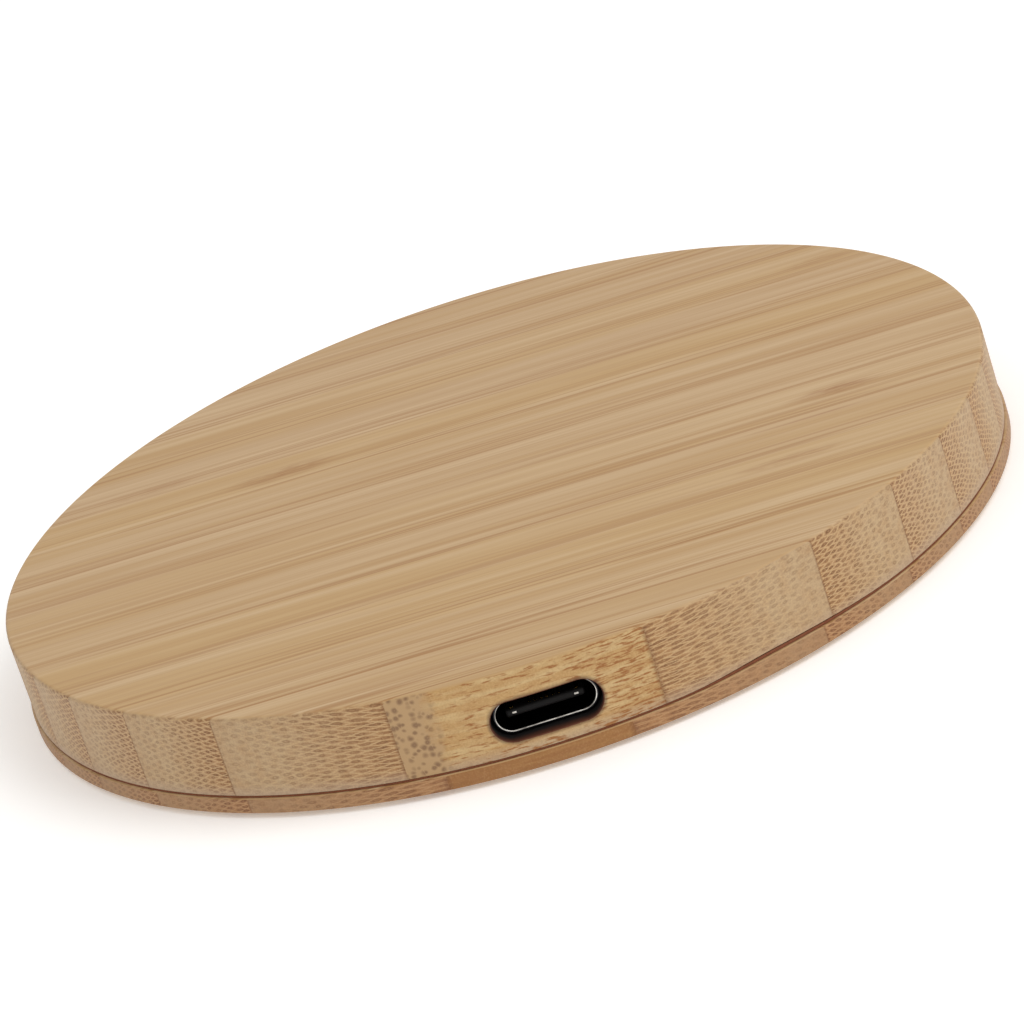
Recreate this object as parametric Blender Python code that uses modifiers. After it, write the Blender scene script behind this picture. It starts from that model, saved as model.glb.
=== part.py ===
"""Round bamboo wireless charging pad with a USB-C inlet, built as its separate pieces.

The pad lies flat, +Z up, with its rubber feet on z = 0 and the USB-C port facing -Y.
Everything is in metres; MM turns millimetres into metres.
"""
import math

import bmesh
import bpy
from mathutils import Vector

MM = 0.001

# Body: a bamboo disc hollowed from below, on a slightly wider base plate
PAD_RADIUS = 45.0 * MM
TOP_EDGE_RADIUS = 0.45 * MM
TOP_WALL = 1.7 * MM
POCKET_RADIUS = 40.5 * MM
BASE_RADIUS = 45.2 * MM
BASE_THICKNESS = 1.36 * MM
BOND_GAP = 0.2 * MM
BODY_HEIGHT = 8.9 * MM
TURNED_STEPS = 96
SHARP_ANGLE = math.radians(35)

# Feet: rubber discs set into shallow recesses
FOOT_RADIUS = 5.0 * MM
FOOT_THICKNESS = 1.0 * MM
FOOT_STANDOFF = 0.45 * MM
FOOT_CIRCLE = 33.0 * MM
RECESS_DEPTH = 0.7 * MM
RECESS_CLEARANCE = 0.3 * MM

# Port: a stadium-shaped hole in the rim and a standard USB-C receptacle behind it
PORT_HEIGHT_ABOVE_BASE = 4.51 * MM
PORT_WIDTH = 9.6 * MM
PORT_HEIGHT = 3.75 * MM
SHELL_WIDTH = 8.94 * MM
SHELL_HEIGHT = 3.26 * MM
SHELL_WALL = 0.3 * MM
SHELL_LENGTH = 7.35 * MM
SHELL_SETBACK = 1.3 * MM
TONGUE_WIDTH = 6.69 * MM
TONGUE_THICKNESS = 0.7 * MM
TONGUE_SETBACK = 0.4 * MM
LEG_WIDTH = 0.9 * MM
LEG_PROUD = 0.06 * MM
CONTACT_PITCH = 0.5 * MM
CONTACT_WIDTH = 0.25 * MM
CONTACT_THICKNESS = 0.06 * MM
GROOVE_CLEARANCE = 0.04 * MM

# Board and coil
BOARD_THICKNESS = 1.0 * MM
BOARD_FRONT_RADIUS = 40.0 * MM
BOARD_HALF_WIDTH = 21.0 * MM
BOARD_BACK = 8.0 * MM
BOARD_CORNER = 3.0 * MM
CHIP_1206 = (3.2 * MM, 1.6 * MM)
CHIP_0603 = (1.6 * MM, 0.8 * MM)
COIL_TURNS = 10
COIL_POINTS_PER_TURN = 32
COIL_INNER_RADIUS = 10.8 * MM
COIL_OUTER_RADIUS = 22.0 * MM
COIL_WIRE = 1.0 * MM
FILM_RADIUS = 22.8 * MM
FILM_THICKNESS = 0.1 * MM
FERRITE_RADIUS = 23.5 * MM
FERRITE_THICKNESS = 0.8 * MM
FERRITE_HOLE_RADIUS = 2.0 * MM
LEAD_SLOT_WIDTH = 1.8 * MM
INNER_LEAD_X = -1.6 * MM
OUTER_LEAD_X = 1.6 * MM
LEAD_PAD_Y = -27.0 * MM

# Gaps kept between pieces that touch on the real object
FILM_GAP = 0.05 * MM
SEAT_GAP = 0.08 * MM

# Heights that follow
BASE_TOP = FOOT_STANDOFF + BASE_THICKNESS
BODY_BOTTOM = BASE_TOP + BOND_GAP
PAD_TOP = FOOT_STANDOFF + BODY_HEIGHT
POCKET_CEILING = PAD_TOP - TOP_WALL
PORT_Z = FOOT_STANDOFF + PORT_HEIGHT_ABOVE_BASE
BOARD_TOP = PORT_Z - SHELL_HEIGHT / 2 - SEAT_GAP
BOARD_BOTTOM = BOARD_TOP - BOARD_THICKNESS
FILM_BOTTOM = POCKET_CEILING - FILM_GAP - FILM_THICKNESS
COIL_Z = FILM_BOTTOM - FILM_GAP - COIL_WIRE / 2
FERRITE_TOP = COIL_Z - COIL_WIRE / 2 - FILM_GAP
FERRITE_BOTTOM = FERRITE_TOP - FERRITE_THICKNESS

# Places along the port's axis that follow
SHELL_FRONT = -PAD_RADIUS + SHELL_SETBACK
SHELL_BACK = SHELL_FRONT + SHELL_LENGTH
BLOCK_DEPTH = 1.0 * MM
BLOCK_BACK = SHELL_BACK - 0.1 * MM
BLOCK_FRONT = BLOCK_BACK - BLOCK_DEPTH
TONGUE_FRONT = SHELL_FRONT + TONGUE_SETBACK


# --- Scene and materials ---------------------------------------------------------------

for leftover in list(bpy.data.objects):
    bpy.data.objects.remove(leftover, do_unlink=True)

parts = bpy.data.collections.new("wireless_charging_pad")
cutters = bpy.data.collections.new("cutters")
bpy.context.scene.collection.children.link(parts)
bpy.context.scene.collection.children.link(cutters)

pad = bpy.data.objects.new("pad_frame", None)
parts.objects.link(pad)


def material(name, colour, roughness, metallic=0.0):
    """A Principled material of one linear colour."""
    made = bpy.data.materials.new(name)
    made.use_nodes = True
    shader = made.node_tree.nodes["Principled BSDF"]
    shader.inputs["Base Color"].default_value = (*colour, 1.0)
    shader.inputs["Roughness"].default_value = roughness
    shader.inputs["Metallic"].default_value = metallic
    made.diffuse_color = (*colour, 1.0)
    return made


BAMBOO = material("bamboo", (0.53, 0.37, 0.21), 0.6)
BAMBOO_BASE = material("bamboo_laser_cut", (0.44, 0.27, 0.13), 0.65)
ADHESIVE = material("adhesive_tape", (0.12, 0.06, 0.03), 0.7)
FILM = material("adhesive_film", (0.75, 0.72, 0.6), 0.4)
FOAM = material("foam", (0.05, 0.05, 0.05), 0.9)
RUBBER = material("rubber", (0.03, 0.03, 0.03), 0.8)
BLACK_PLATE = material("black_plated_steel", (0.03, 0.03, 0.032), 0.35, 1.0)
STEEL = material("stainless_steel", (0.6, 0.6, 0.62), 0.3, 1.0)
GOLD = material("gold_plated_copper", (0.9, 0.68, 0.3), 0.25, 1.0)
BLACK_PLASTIC = material("black_plastic", (0.015, 0.015, 0.016), 0.45)
SOLDER_MASK = material("solder_mask", (0.012, 0.014, 0.013), 0.4)
LITZ = material("litz_wire", (0.6, 0.22, 0.07), 0.45, 0.6)
FERRITE = material("ferrite", (0.04, 0.04, 0.045), 0.6)
CERAMIC = material("capacitor_ceramic", (0.42, 0.26, 0.14), 0.5)
EPOXY = material("epoxy_moulding", (0.02, 0.02, 0.022), 0.55)
INDUCTOR_GREY = material("inductor_grey", (0.09, 0.09, 0.1), 0.6)


# --- Ways of making shapes -------------------------------------------------------------

def add_part(name, mesh, skin, location=(0.0, 0.0, 0.0)):
    """Put a mesh in the pad as a named part."""
    mesh.materials.append(skin)
    part = bpy.data.objects.new(name, mesh)
    part.location = location
    part.parent = pad
    parts.objects.link(part)
    return part


def add_cutter(name, mesh, location=(0.0, 0.0, 0.0)):
    """Put a mesh in the scene as a hidden wire-frame cutter."""
    cutter = bpy.data.objects.new(name, mesh)
    cutter.location = location
    cutter.hide_render = True
    cutter.display_type = "WIRE"
    cutters.objects.link(cutter)
    return cutter


def mesh_from(name, shape):
    """Turn a bmesh into a smooth-shaded mesh with its hard edges kept sharp."""
    bmesh.ops.recalc_face_normals(shape, faces=shape.faces)
    mesh = bpy.data.meshes.new(name)
    shape.to_mesh(mesh)
    shape.free()
    mesh.shade_smooth()
    mesh.set_sharp_from_angle(angle=SHARP_ANGLE)
    return mesh


def box_mesh(name, size):
    """A box around its own origin."""
    shape = bmesh.new()
    bmesh.ops.create_cube(shape, size=1.0)
    bmesh.ops.scale(shape, vec=Vector(size), verts=shape.verts)
    return mesh_from(name, shape)


def boxes_mesh(name, boxes):
    """Several separate boxes in one mesh, each given as (size, centre)."""
    shape = bmesh.new()
    for size, centre in boxes:
        corners = bmesh.ops.create_cube(shape, size=1.0)["verts"]
        bmesh.ops.scale(shape, vec=Vector(size), verts=corners)
        bmesh.ops.translate(shape, vec=Vector(centre), verts=corners)
    return mesh_from(name, shape)


def disc_mesh(name, radius, thickness, segments):
    """An upright round disc around its own origin."""
    shape = bmesh.new()
    bmesh.ops.create_cone(shape, cap_ends=True, segments=segments, radius1=radius,
                          radius2=radius, depth=thickness)
    return mesh_from(name, shape)


def boolean(part, other, operation="DIFFERENCE"):
    """Cut the part with another object, or join the other object to it."""
    step = part.modifiers.new(f"{operation.lower()}_{other.name}", "BOOLEAN")
    step.operation = operation
    step.solver = "EXACT"
    step.object = other


def bevel(part, width, segments=2):
    """Round the part's sharp edges."""
    step = part.modifiers.new("rounded_edges", "BEVEL")
    step.width = width
    step.segments = segments
    step.limit_method = "ANGLE"
    step.angle_limit = math.radians(40)


def turned(name, profile, skin):
    """Turn a profile of (radius, height) points round the Z axis."""
    mesh = bpy.data.meshes.new(name)
    points = [(radius, 0.0, height) for radius, height in profile]
    mesh.from_pydata(points, [(i, i + 1) for i in range(len(points) - 1)], [])
    part = add_part(name, mesh, skin)
    screw = part.modifiers.new("turned", "SCREW")
    screw.steps = TURNED_STEPS
    screw.render_steps = TURNED_STEPS
    screw.use_merge_vertices = True
    screw.merge_threshold = 0.001 * MM
    screw.use_smooth_shade = True
    return part


def flat_plate(name, outline, thickness):
    """The mesh of a flat plate with the given outline, around its middle plane."""
    curve = bpy.data.curves.new(name, "CURVE")
    curve.dimensions = "2D"
    curve.fill_mode = "BOTH"
    curve.extrude = thickness / 2
    spline = curve.splines.new("POLY")
    spline.points.add(len(outline) - 1)
    for point, (x, y) in zip(spline.points, outline):
        point.co = (x, y, 0.0, 1.0)
    spline.use_cyclic_u = True
    return curve_mesh(name, curve)


def curve_mesh(name, curve):
    """The closed mesh of a curve, with its caps welded on."""
    holder = bpy.data.objects.new(name, curve)
    bpy.context.scene.collection.objects.link(holder)
    bpy.context.view_layer.update()
    evaluated = holder.evaluated_get(bpy.context.evaluated_depsgraph_get())
    shape = bmesh.new()
    shape.from_mesh(bpy.data.meshes.new_from_object(evaluated))
    bmesh.ops.remove_doubles(shape, verts=shape.verts, dist=0.0001 * MM)
    bpy.data.objects.remove(holder, do_unlink=True)
    return mesh_from(name, shape)


def wire_mesh(name, path, diameter):
    """A round wire along a list of points, with closed ends."""
    curve = bpy.data.curves.new(name, "CURVE")
    curve.dimensions = "3D"
    curve.bevel_depth = diameter / 2
    curve.bevel_resolution = 2
    curve.use_fill_caps = True
    spline = curve.splines.new("POLY")
    spline.points.add(len(path) - 1)
    for point, place in zip(spline.points, path):
        point.co = (*place, 1.0)
    return curve_mesh(name, curve)


def arc(centre_x, centre_y, radius, start, end, steps):
    """Points along an arc, with both of its ends."""
    angles = [start + (end - start) * i / steps for i in range(steps + 1)]
    return [(centre_x + radius * math.cos(a), centre_y + radius * math.sin(a)) for a in angles]


def stadium(width, height, steps):
    """The outline of a slot with round ends, around its own centre."""
    radius = height / 2
    reach = width / 2 - radius
    right = arc(reach, 0.0, radius, -math.pi / 2, math.pi / 2, steps)
    left = arc(-reach, 0.0, radius, math.pi / 2, 1.5 * math.pi, steps)
    return right + left


def tube_along_y(name, outline, length, wall):
    """A tube along Y whose outside is the outline and whose wall goes inward."""
    shape = bmesh.new()
    ring = [shape.verts.new((x, -length / 2, z)) for x, z in outline]
    edges = [shape.edges.new((ring[i - 1], ring[i])) for i in range(len(ring))]
    swept = bmesh.ops.extrude_edge_only(shape, edges=edges)["geom"]
    moved = [item for item in swept if isinstance(item, bmesh.types.BMVert)]
    bmesh.ops.translate(shape, vec=(0.0, length, 0.0), verts=moved)
    mesh = mesh_from(name, shape)
    part = add_part(name, mesh, BLACK_PLATE)
    solidify = part.modifiers.new("wall", "SOLIDIFY")
    solidify.thickness = wall
    solidify.offset = -1.0
    solidify.use_even_offset = True
    return part


def ribbon(name, path, width, thickness, skin):
    """A flat metal strip, bent along (y, z) points and centred on its own x = 0."""
    shape = bmesh.new()
    line = [shape.verts.new((-width / 2, y, z)) for y, z in path]
    edges = [shape.edges.new((line[i], line[i + 1])) for i in range(len(line) - 1)]
    swept = bmesh.ops.extrude_edge_only(shape, edges=edges)["geom"]
    moved = [item for item in swept if isinstance(item, bmesh.types.BMVert)]
    bmesh.ops.translate(shape, vec=(width, 0.0, 0.0), verts=moved)
    part = add_part(name, mesh_from(name, shape), skin)
    solidify = part.modifiers.new("metal", "SOLIDIFY")
    solidify.thickness = thickness
    solidify.offset = 0.0
    solidify.use_even_offset = True
    return part


# --- Body ------------------------------------------------------------------------------

def make_upper_body():
    """Bamboo disc, hollowed from below, with the port hole milled through its wall."""
    rounding = arc(PAD_RADIUS - TOP_EDGE_RADIUS, PAD_TOP - TOP_EDGE_RADIUS, TOP_EDGE_RADIUS,
                   math.pi / 2, 0.0, 4)
    profile = [(0.0, PAD_TOP)] + rounding
    profile += [(PAD_RADIUS, BODY_BOTTOM), (POCKET_RADIUS, BODY_BOTTOM)]
    profile += [(POCKET_RADIUS, POCKET_CEILING), (0.0, POCKET_CEILING)]
    body = turned("upper_body", profile, BAMBOO)

    hole_length = 10.0 * MM
    hole = flat_plate("port_hole", stadium(PORT_WIDTH, PORT_HEIGHT, 16), hole_length)
    cutter = add_cutter("port_hole", hole, (0.0, -PAD_RADIUS, PORT_Z))
    cutter.rotation_euler = (math.pi / 2, 0.0, 0.0)
    boolean(body, cutter)


def foot_places():
    """The four feet, midway between the axes."""
    for quarter in range(4):
        angle = math.radians(45 + 90 * quarter)
        yield FOOT_CIRCLE * math.cos(angle), FOOT_CIRCLE * math.sin(angle)


def make_base_plate_and_feet():
    """Laser-cut bamboo disc with four recesses, and the rubber feet in them."""
    plate = disc_mesh("base_plate", BASE_RADIUS, BASE_THICKNESS, TURNED_STEPS)
    base = add_part("base_plate", plate, BAMBOO_BASE,
                    (0.0, 0.0, FOOT_STANDOFF + BASE_THICKNESS / 2))
    for number, (x, y) in enumerate(foot_places(), start=1):
        recess = disc_mesh(f"foot_recess_{number}", FOOT_RADIUS + RECESS_CLEARANCE,
                           2 * RECESS_DEPTH, 32)
        boolean(base, add_cutter(f"foot_recess_{number}", recess, (x, y, FOOT_STANDOFF)))
        disc = disc_mesh(f"rubber_foot_{number}", FOOT_RADIUS, FOOT_THICKNESS, 32)
        foot = add_part(f"rubber_foot_{number}", disc, RUBBER, (x, y, FOOT_THICKNESS / 2))
        bevel(foot, 0.2 * MM, 1)


def make_adhesive_ring():
    """Thin double-sided tape between the wall of the body and the base plate."""
    inner = POCKET_RADIUS + 0.6 * MM
    outer = PAD_RADIUS - 0.8 * MM
    top = BODY_BOTTOM - FILM_GAP
    bottom = BASE_TOP + FILM_GAP
    profile = [(inner, top), (outer, top), (outer, bottom), (inner, bottom), (inner, top)]
    turned("base_adhesive_ring", profile, ADHESIVE)


# --- USB-C receptacle ------------------------------------------------------------------

def make_shell():
    """Drawn and folded metal shell with four legs that pass through the board."""
    outline = stadium(SHELL_WIDTH, SHELL_HEIGHT, 12)
    shell = tube_along_y("usb_c_shell", outline, SHELL_LENGTH, SHELL_WALL)
    shell.location = (0.0, (SHELL_FRONT + SHELL_BACK) / 2, PORT_Z)
    for number, (x, y) in enumerate(leg_places(), start=1):
        leg_bottom = BOARD_BOTTOM - 0.2 * MM
        leg = box_mesh(f"shell_leg_{number}", (SHELL_WALL, LEG_WIDTH, PORT_Z - leg_bottom))
        place = (x, y, (PORT_Z + leg_bottom) / 2)
        boolean(shell, add_cutter(f"shell_leg_{number}", leg, place), "UNION")


def leg_places():
    """Where the shell's four legs go down, just proud of its sides."""
    reach = SHELL_WIDTH / 2 - SHELL_WALL / 2 + LEG_PROUD
    for side in (-1, 1):
        for y in (SHELL_BACK - 2.5 * MM, SHELL_BACK - 0.8 * MM):
            yield side * reach, y


def contact_rows():
    """Name, x and row (1 above the tongue, -1 below) of each of the 16 contacts."""
    columns = (-5.5, -2.5, -1.5, -0.5, 0.5, 1.5, 2.5, 5.5)
    upper = ("a1", "a4", "a5", "a6", "a7", "a8", "a9", "a12")
    lower = ("b12", "b9", "b8", "b7", "b6", "b5", "b4", "b1")
    for row, names in ((1, upper), (-1, lower)):
        for name, column in zip(names, columns):
            yield f"usb_c_contact_{name}", column * CONTACT_PITCH, row


def make_insulator():
    """Moulded plastic: a block that closes the shell, a thicker root and the tongue."""
    inset = SHELL_WALL + 0.15 * MM
    block_outline = stadium(SHELL_WIDTH - 2 * inset, SHELL_HEIGHT - 2 * inset, 12)
    block = flat_plate("usb_c_insulator", block_outline, BLOCK_DEPTH)
    insulator = add_part("usb_c_insulator", block, BLACK_PLASTIC,
                         (0.0, (BLOCK_FRONT + BLOCK_BACK) / 2, PORT_Z))
    insulator.rotation_euler = (math.pi / 2, 0.0, 0.0)

    root_length = 1.2 * MM
    overlap = 0.4 * MM
    pieces = (("tongue_root", 1.3 * MM, BLOCK_FRONT - root_length),
              ("tongue", TONGUE_THICKNESS, TONGUE_FRONT))
    for name, thickness, front in pieces:
        length = BLOCK_FRONT + overlap - front
        solid = box_mesh(name, (TONGUE_WIDTH, length, thickness))
        joined = add_cutter(name, solid, (0.0, front + length / 2, PORT_Z))
        boolean(insulator, joined, "UNION")

    slot_back = BLOCK_FRONT - 0.3 * MM
    slot_front = TONGUE_FRONT - 1.0 * MM
    slot = box_mesh("mid_plate_slot", (TONGUE_WIDTH + 2.0 * MM, slot_back - slot_front, 0.25 * MM))
    slot_place = (0.0, (slot_back + slot_front) / 2, PORT_Z)
    boolean(insulator, add_cutter("mid_plate_slot", slot, slot_place))

    plate_front = TONGUE_FRONT + 0.15 * MM
    plate_back = slot_back - 0.15 * MM
    plate = box_mesh("usb_c_mid_plate", (TONGUE_WIDTH + 0.1 * MM, plate_back - plate_front, 0.15 * MM))
    add_part("usb_c_mid_plate", plate, STEEL, (0.0, (plate_front + plate_back) / 2, PORT_Z))

    grooves = []
    groove_start = TONGUE_FRONT + 0.25 * MM
    groove_end = BLOCK_BACK + 1.0 * MM
    groove_width = CONTACT_WIDTH + 2 * GROOVE_CLEARANCE
    groove_depth = CONTACT_THICKNESS + 2 * GROOVE_CLEARANCE
    for _, x, row in contact_rows():
        size = (groove_width, groove_end - groove_start, groove_depth)
        grooves.append((size, (x, (groove_start + groove_end) / 2, row * TONGUE_THICKNESS / 2)))
    cutter = add_cutter("contact_grooves", boxes_mesh("contact_grooves", grooves), (0.0, 0.0, PORT_Z))
    boolean(insulator, cutter)


def make_contacts():
    """Stamped contacts: along the tongue, through the block and down to the board."""
    tip = TONGUE_FRONT + 0.35 * MM
    board = BOARD_TOP - PORT_Z + SEAT_GAP
    foot_length = 0.5 * MM
    for name, x, row in contact_rows():
        drop = SHELL_BACK + (0.3 * MM if row < 0 else 1.3 * MM)
        height = row * TONGUE_THICKNESS / 2
        path = [(tip, height), (drop, height), (drop, board), (drop + foot_length, board)]
        contact = ribbon(name, path, CONTACT_WIDTH, CONTACT_THICKNESS, GOLD)
        contact.location = (x, 0.0, PORT_Z)


# --- Board -----------------------------------------------------------------------------

def make_board():
    """Board whose front edge follows the hollow, with four slots for the shell's legs."""
    corner = math.asin(BOARD_HALF_WIDTH / BOARD_FRONT_RADIUS)
    front = arc(0.0, 0.0, BOARD_FRONT_RADIUS, -math.pi / 2 - corner, -math.pi / 2 + corner, 16)
    inset_x = BOARD_HALF_WIDTH - BOARD_CORNER
    inset_y = BOARD_BACK - BOARD_CORNER
    right = arc(inset_x, inset_y, BOARD_CORNER, 0.0, math.pi / 2, 5)
    left = arc(-inset_x, inset_y, BOARD_CORNER, math.pi / 2, math.pi, 5)
    plate = flat_plate("circuit_board", front + right + left, BOARD_THICKNESS)
    board = add_part("circuit_board", plate, SOLDER_MASK, (0.0, 0.0, (BOARD_TOP + BOARD_BOTTOM) / 2))
    slots = []
    for x, y in leg_places():
        slots.append(((SHELL_WALL + 0.5 * MM, LEG_WIDTH + 0.5 * MM, 2 * BOARD_THICKNESS), (x, y, 0.0)))
    cutter = add_cutter("leg_slots", boxes_mesh("leg_slots", slots), board.location)
    boolean(board, cutter)


def make_foam_pad():
    """Double-sided foam between the board and the base plate."""
    thickness = BOARD_BOTTOM - BASE_TOP - 2 * SEAT_GAP
    pad_mesh = box_mesh("board_foam_pad", (30.0 * MM, 26.0 * MM, thickness))
    add_part("board_foam_pad", pad_mesh, FOAM, (0.0, -12.0 * MM, (BOARD_BOTTOM + BASE_TOP) / 2))


def on_board(name, size, place, skin, edge=0.08 * MM, segments=1):
    """A rounded block standing on the board, its (x, y) place given in millimetres."""
    location = (place[0] * MM, place[1] * MM, BOARD_TOP + SEAT_GAP + size[2] / 2)
    block = add_part(name, box_mesh(name, size), skin, location)
    bevel(block, edge, segments)
    return block


def chip(name, footprint, height, place, skin):
    """A two-ended chip component, its metal end caps a little proud of its body."""
    length, width = footprint
    cap_length = length * 0.18
    proud = 0.04 * MM
    body_size = (length - 0.1 * MM, width - 2 * proud, height - 2 * proud)
    location = Vector((place[0] * MM, place[1] * MM, BOARD_TOP + SEAT_GAP + height / 2))
    component = add_part(name, box_mesh(name, body_size), skin, location)
    for side, word in ((-1, "left"), (1, "right")):
        cap_name = f"{name}_cap_{word}"
        cap_place = location + Vector((side * (length - cap_length) / 2, 0.0, 0.0))
        cap = add_cutter(cap_name, box_mesh(cap_name, (cap_length, width, height)), cap_place)
        boolean(component, cap, "UNION")


def join_leads(part, leads):
    """Join flat leads, each given as (size, x and y from the part's centre), to its foot."""
    boxes = []
    for size, x, y in leads:
        boxes.append((size, (x, y, BOARD_TOP + SEAT_GAP + size[2] / 2 - part.location.z)))
    name = f"{part.name}_leads"
    boolean(part, add_cutter(name, boxes_mesh(name, boxes), part.location), "UNION")


def make_semiconductors():
    """Controller, half bridges, regulator and surge diode, all moulded in black epoxy."""
    on_board("controller_ic", (5.0 * MM, 5.0 * MM, 0.8 * MM), (0.0, -15.0), EPOXY)
    for number, x in enumerate((-7.5, 7.5), start=1):
        on_board(f"bridge_mosfet_{number}", (3.3 * MM, 3.3 * MM, 0.8 * MM), (x, -20.5), EPOXY)

    regulator = on_board("regulator_ic", (2.9 * MM, 1.6 * MM, 1.1 * MM), (-9.0, -12.0), EPOXY)
    lead = (0.4 * MM, 0.8 * MM, 0.45 * MM)
    pitch = 0.95 * MM
    join_leads(regulator, [(lead, column * pitch, side * 0.8 * MM)
                           for side in (-1, 1) for column in (-1, 0, 1)])

    surge = on_board("surge_diode", (4.3 * MM, 2.6 * MM, 2.1 * MM), (-10.0, -32.0), EPOXY)
    join_leads(surge, [((5.2 * MM, 1.5 * MM, 0.5 * MM), 0.0, 0.0)])


def make_passives():
    """Capacitors, resistors, fuse and inductor."""
    for number in range(4):
        place = (13.5, -15.0 + 2.8 * number)
        chip(f"resonant_capacitor_{number + 1}", CHIP_1206, 1.25 * MM, place, CERAMIC)
    for number in range(2):
        place = (-13.5, -28.5 + 2.8 * number)
        chip(f"input_capacitor_{number + 1}", CHIP_1206, 1.6 * MM, place, CERAMIC)
    for number in range(4):
        place = (-4.5 + 3.0 * number, -10.0)
        chip(f"decoupling_capacitor_{number + 1}", CHIP_0603, 0.8 * MM, place, CERAMIC)
    for number, x in enumerate((-2.4, 2.4), start=1):
        chip(f"cc_resistor_{number}", CHIP_0603, 0.45 * MM, (x, -32.0), EPOXY)
    chip("current_sense_resistor", CHIP_1206, 0.6 * MM, (0.0, -20.5), EPOXY)
    chip("input_fuse", CHIP_1206, 0.8 * MM, (8.0, -32.0), CERAMIC)
    on_board("power_inductor", (5.0 * MM, 5.0 * MM, 2.8 * MM), (13.5, -28.0), INDUCTOR_GREY,
             edge=0.5 * MM, segments=2)


# --- Coil, ferrite and thermistor ------------------------------------------------------

def coil_path():
    """Inner lead, ten flat turns from the inside out, and outer lead."""
    first = math.atan2(-COIL_INNER_RADIUS, INNER_LEAD_X)
    steps = COIL_TURNS * COIL_POINTS_PER_TURN
    turns = []
    for step in range(steps + 1):
        radius = COIL_INNER_RADIUS + (COIL_OUTER_RADIUS - COIL_INNER_RADIUS) * step / steps
        angle = first + 2 * math.pi * step / COIL_POINTS_PER_TURN
        turns.append((radius * math.cos(angle), radius * math.sin(angle), COIL_Z))

    start_y = turns[0][1]
    edge = -FERRITE_RADIUS - 1.2 * MM
    under = COIL_Z - COIL_WIRE - 0.12 * MM
    solder = BOARD_TOP + SEAT_GAP + COIL_WIRE / 2

    inner = [
        (INNER_LEAD_X, LEAD_PAD_Y, solder),
        (INNER_LEAD_X, edge - 0.3 * MM, solder + 0.2 * MM),
        (INNER_LEAD_X, edge, under - 0.6 * MM),
        (INNER_LEAD_X, edge + 0.9 * MM, under),
        (INNER_LEAD_X, start_y - 1.0 * MM, under),
        (INNER_LEAD_X - 0.1 * MM, start_y - 0.1 * MM, under),
        (INNER_LEAD_X - 0.5 * MM, start_y + 0.4 * MM, (under + COIL_Z) / 2),
    ]
    outer = [
        (0.4 * MM, -COIL_OUTER_RADIUS - 0.7 * MM, COIL_Z),
        (OUTER_LEAD_X, edge + 0.5 * MM, COIL_Z - 0.1 * MM),
        (OUTER_LEAD_X, edge - 0.2 * MM, COIL_Z - 0.9 * MM),
        (OUTER_LEAD_X, edge - 0.4 * MM, solder + 0.6 * MM),
        (OUTER_LEAD_X, LEAD_PAD_Y, solder),
    ]
    return inner + turns + outer


def make_coil():
    """Litz-wire coil glued under the ceiling of the hollow."""
    add_part("transmitter_coil", wire_mesh("transmitter_coil", coil_path(), COIL_WIRE), LITZ)
    film = disc_mesh("coil_adhesive_film", FILM_RADIUS, FILM_THICKNESS, 64)
    add_part("coil_adhesive_film", film, FILM, (0.0, 0.0, FILM_BOTTOM + FILM_THICKNESS / 2))


def make_ferrite():
    """Ferrite disc under the coil, slotted for the inner lead and holed for the bead."""
    disc = disc_mesh("ferrite_sheet", FERRITE_RADIUS, FERRITE_THICKNESS, 64)
    ferrite = add_part("ferrite_sheet", disc, FERRITE, (0.0, 0.0, (FERRITE_TOP + FERRITE_BOTTOM) / 2))
    hole = disc_mesh("bead_hole", FERRITE_HOLE_RADIUS, 3 * FERRITE_THICKNESS, 24)
    boolean(ferrite, add_cutter("bead_hole", hole, ferrite.location))
    slot_length = FERRITE_RADIUS + 5.0 * MM - (COIL_INNER_RADIUS - 2.0 * MM)
    slot = box_mesh("lead_slot", (LEAD_SLOT_WIDTH, slot_length, 3 * FERRITE_THICKNESS))
    slot_y = -(COIL_INNER_RADIUS - 2.0 * MM) - slot_length / 2
    slot_x = INNER_LEAD_X - 0.2 * MM
    boolean(ferrite, add_cutter("lead_slot", slot, (slot_x, slot_y, ferrite.location.z)))


def make_thermistor():
    """Epoxy bead in the coil's eye, on two thin leads that reach down to the board."""
    bead_radius = 0.75 * MM
    bead_z = FILM_BOTTOM - 0.1 * MM - bead_radius
    foot = BOARD_TOP + SEAT_GAP + 0.15 * MM
    half = [(1.1 * MM, -1.6 * MM, foot), (1.0 * MM, -0.9 * MM, foot + 0.2 * MM)]
    half += [(0.6 * MM, 0.0, foot + 1.2 * MM), (0.35 * MM, 0.0, bead_z)]
    path = [(-x, y, z) for x, y, z in half] + list(reversed(half))
    leads = wire_mesh("thermistor", path, 0.3 * MM)
    thermistor = add_part("thermistor", leads, STEEL)
    shape = bmesh.new()
    bmesh.ops.create_uvsphere(shape, u_segments=12, v_segments=8, radius=bead_radius)
    bead = add_cutter("thermistor_bead", mesh_from("thermistor_bead", shape), (0.0, 0.0, bead_z))
    boolean(thermistor, bead, "UNION")


make_upper_body()
make_base_plate_and_feet()
make_adhesive_ring()
make_shell()
make_insulator()
make_contacts()
make_board()
make_foam_pad()
make_semiconductors()
make_passives()
make_coil()
make_ferrite()
make_thermistor()


def settle(part):
    """Apply the part's modifiers, so that the edges its cuts made can be shaded sharp."""
    evaluated = part.evaluated_get(bpy.context.evaluated_depsgraph_get())
    mesh = bpy.data.meshes.new_from_object(evaluated)
    part.modifiers.clear()
    part.data = mesh
    mesh.shade_smooth()
    mesh.set_sharp_from_angle(angle=SHARP_ANGLE)


bpy.context.view_layer.update()
for finished in list(parts.objects):
    if finished.type == "MESH":
        settle(finished)
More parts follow.
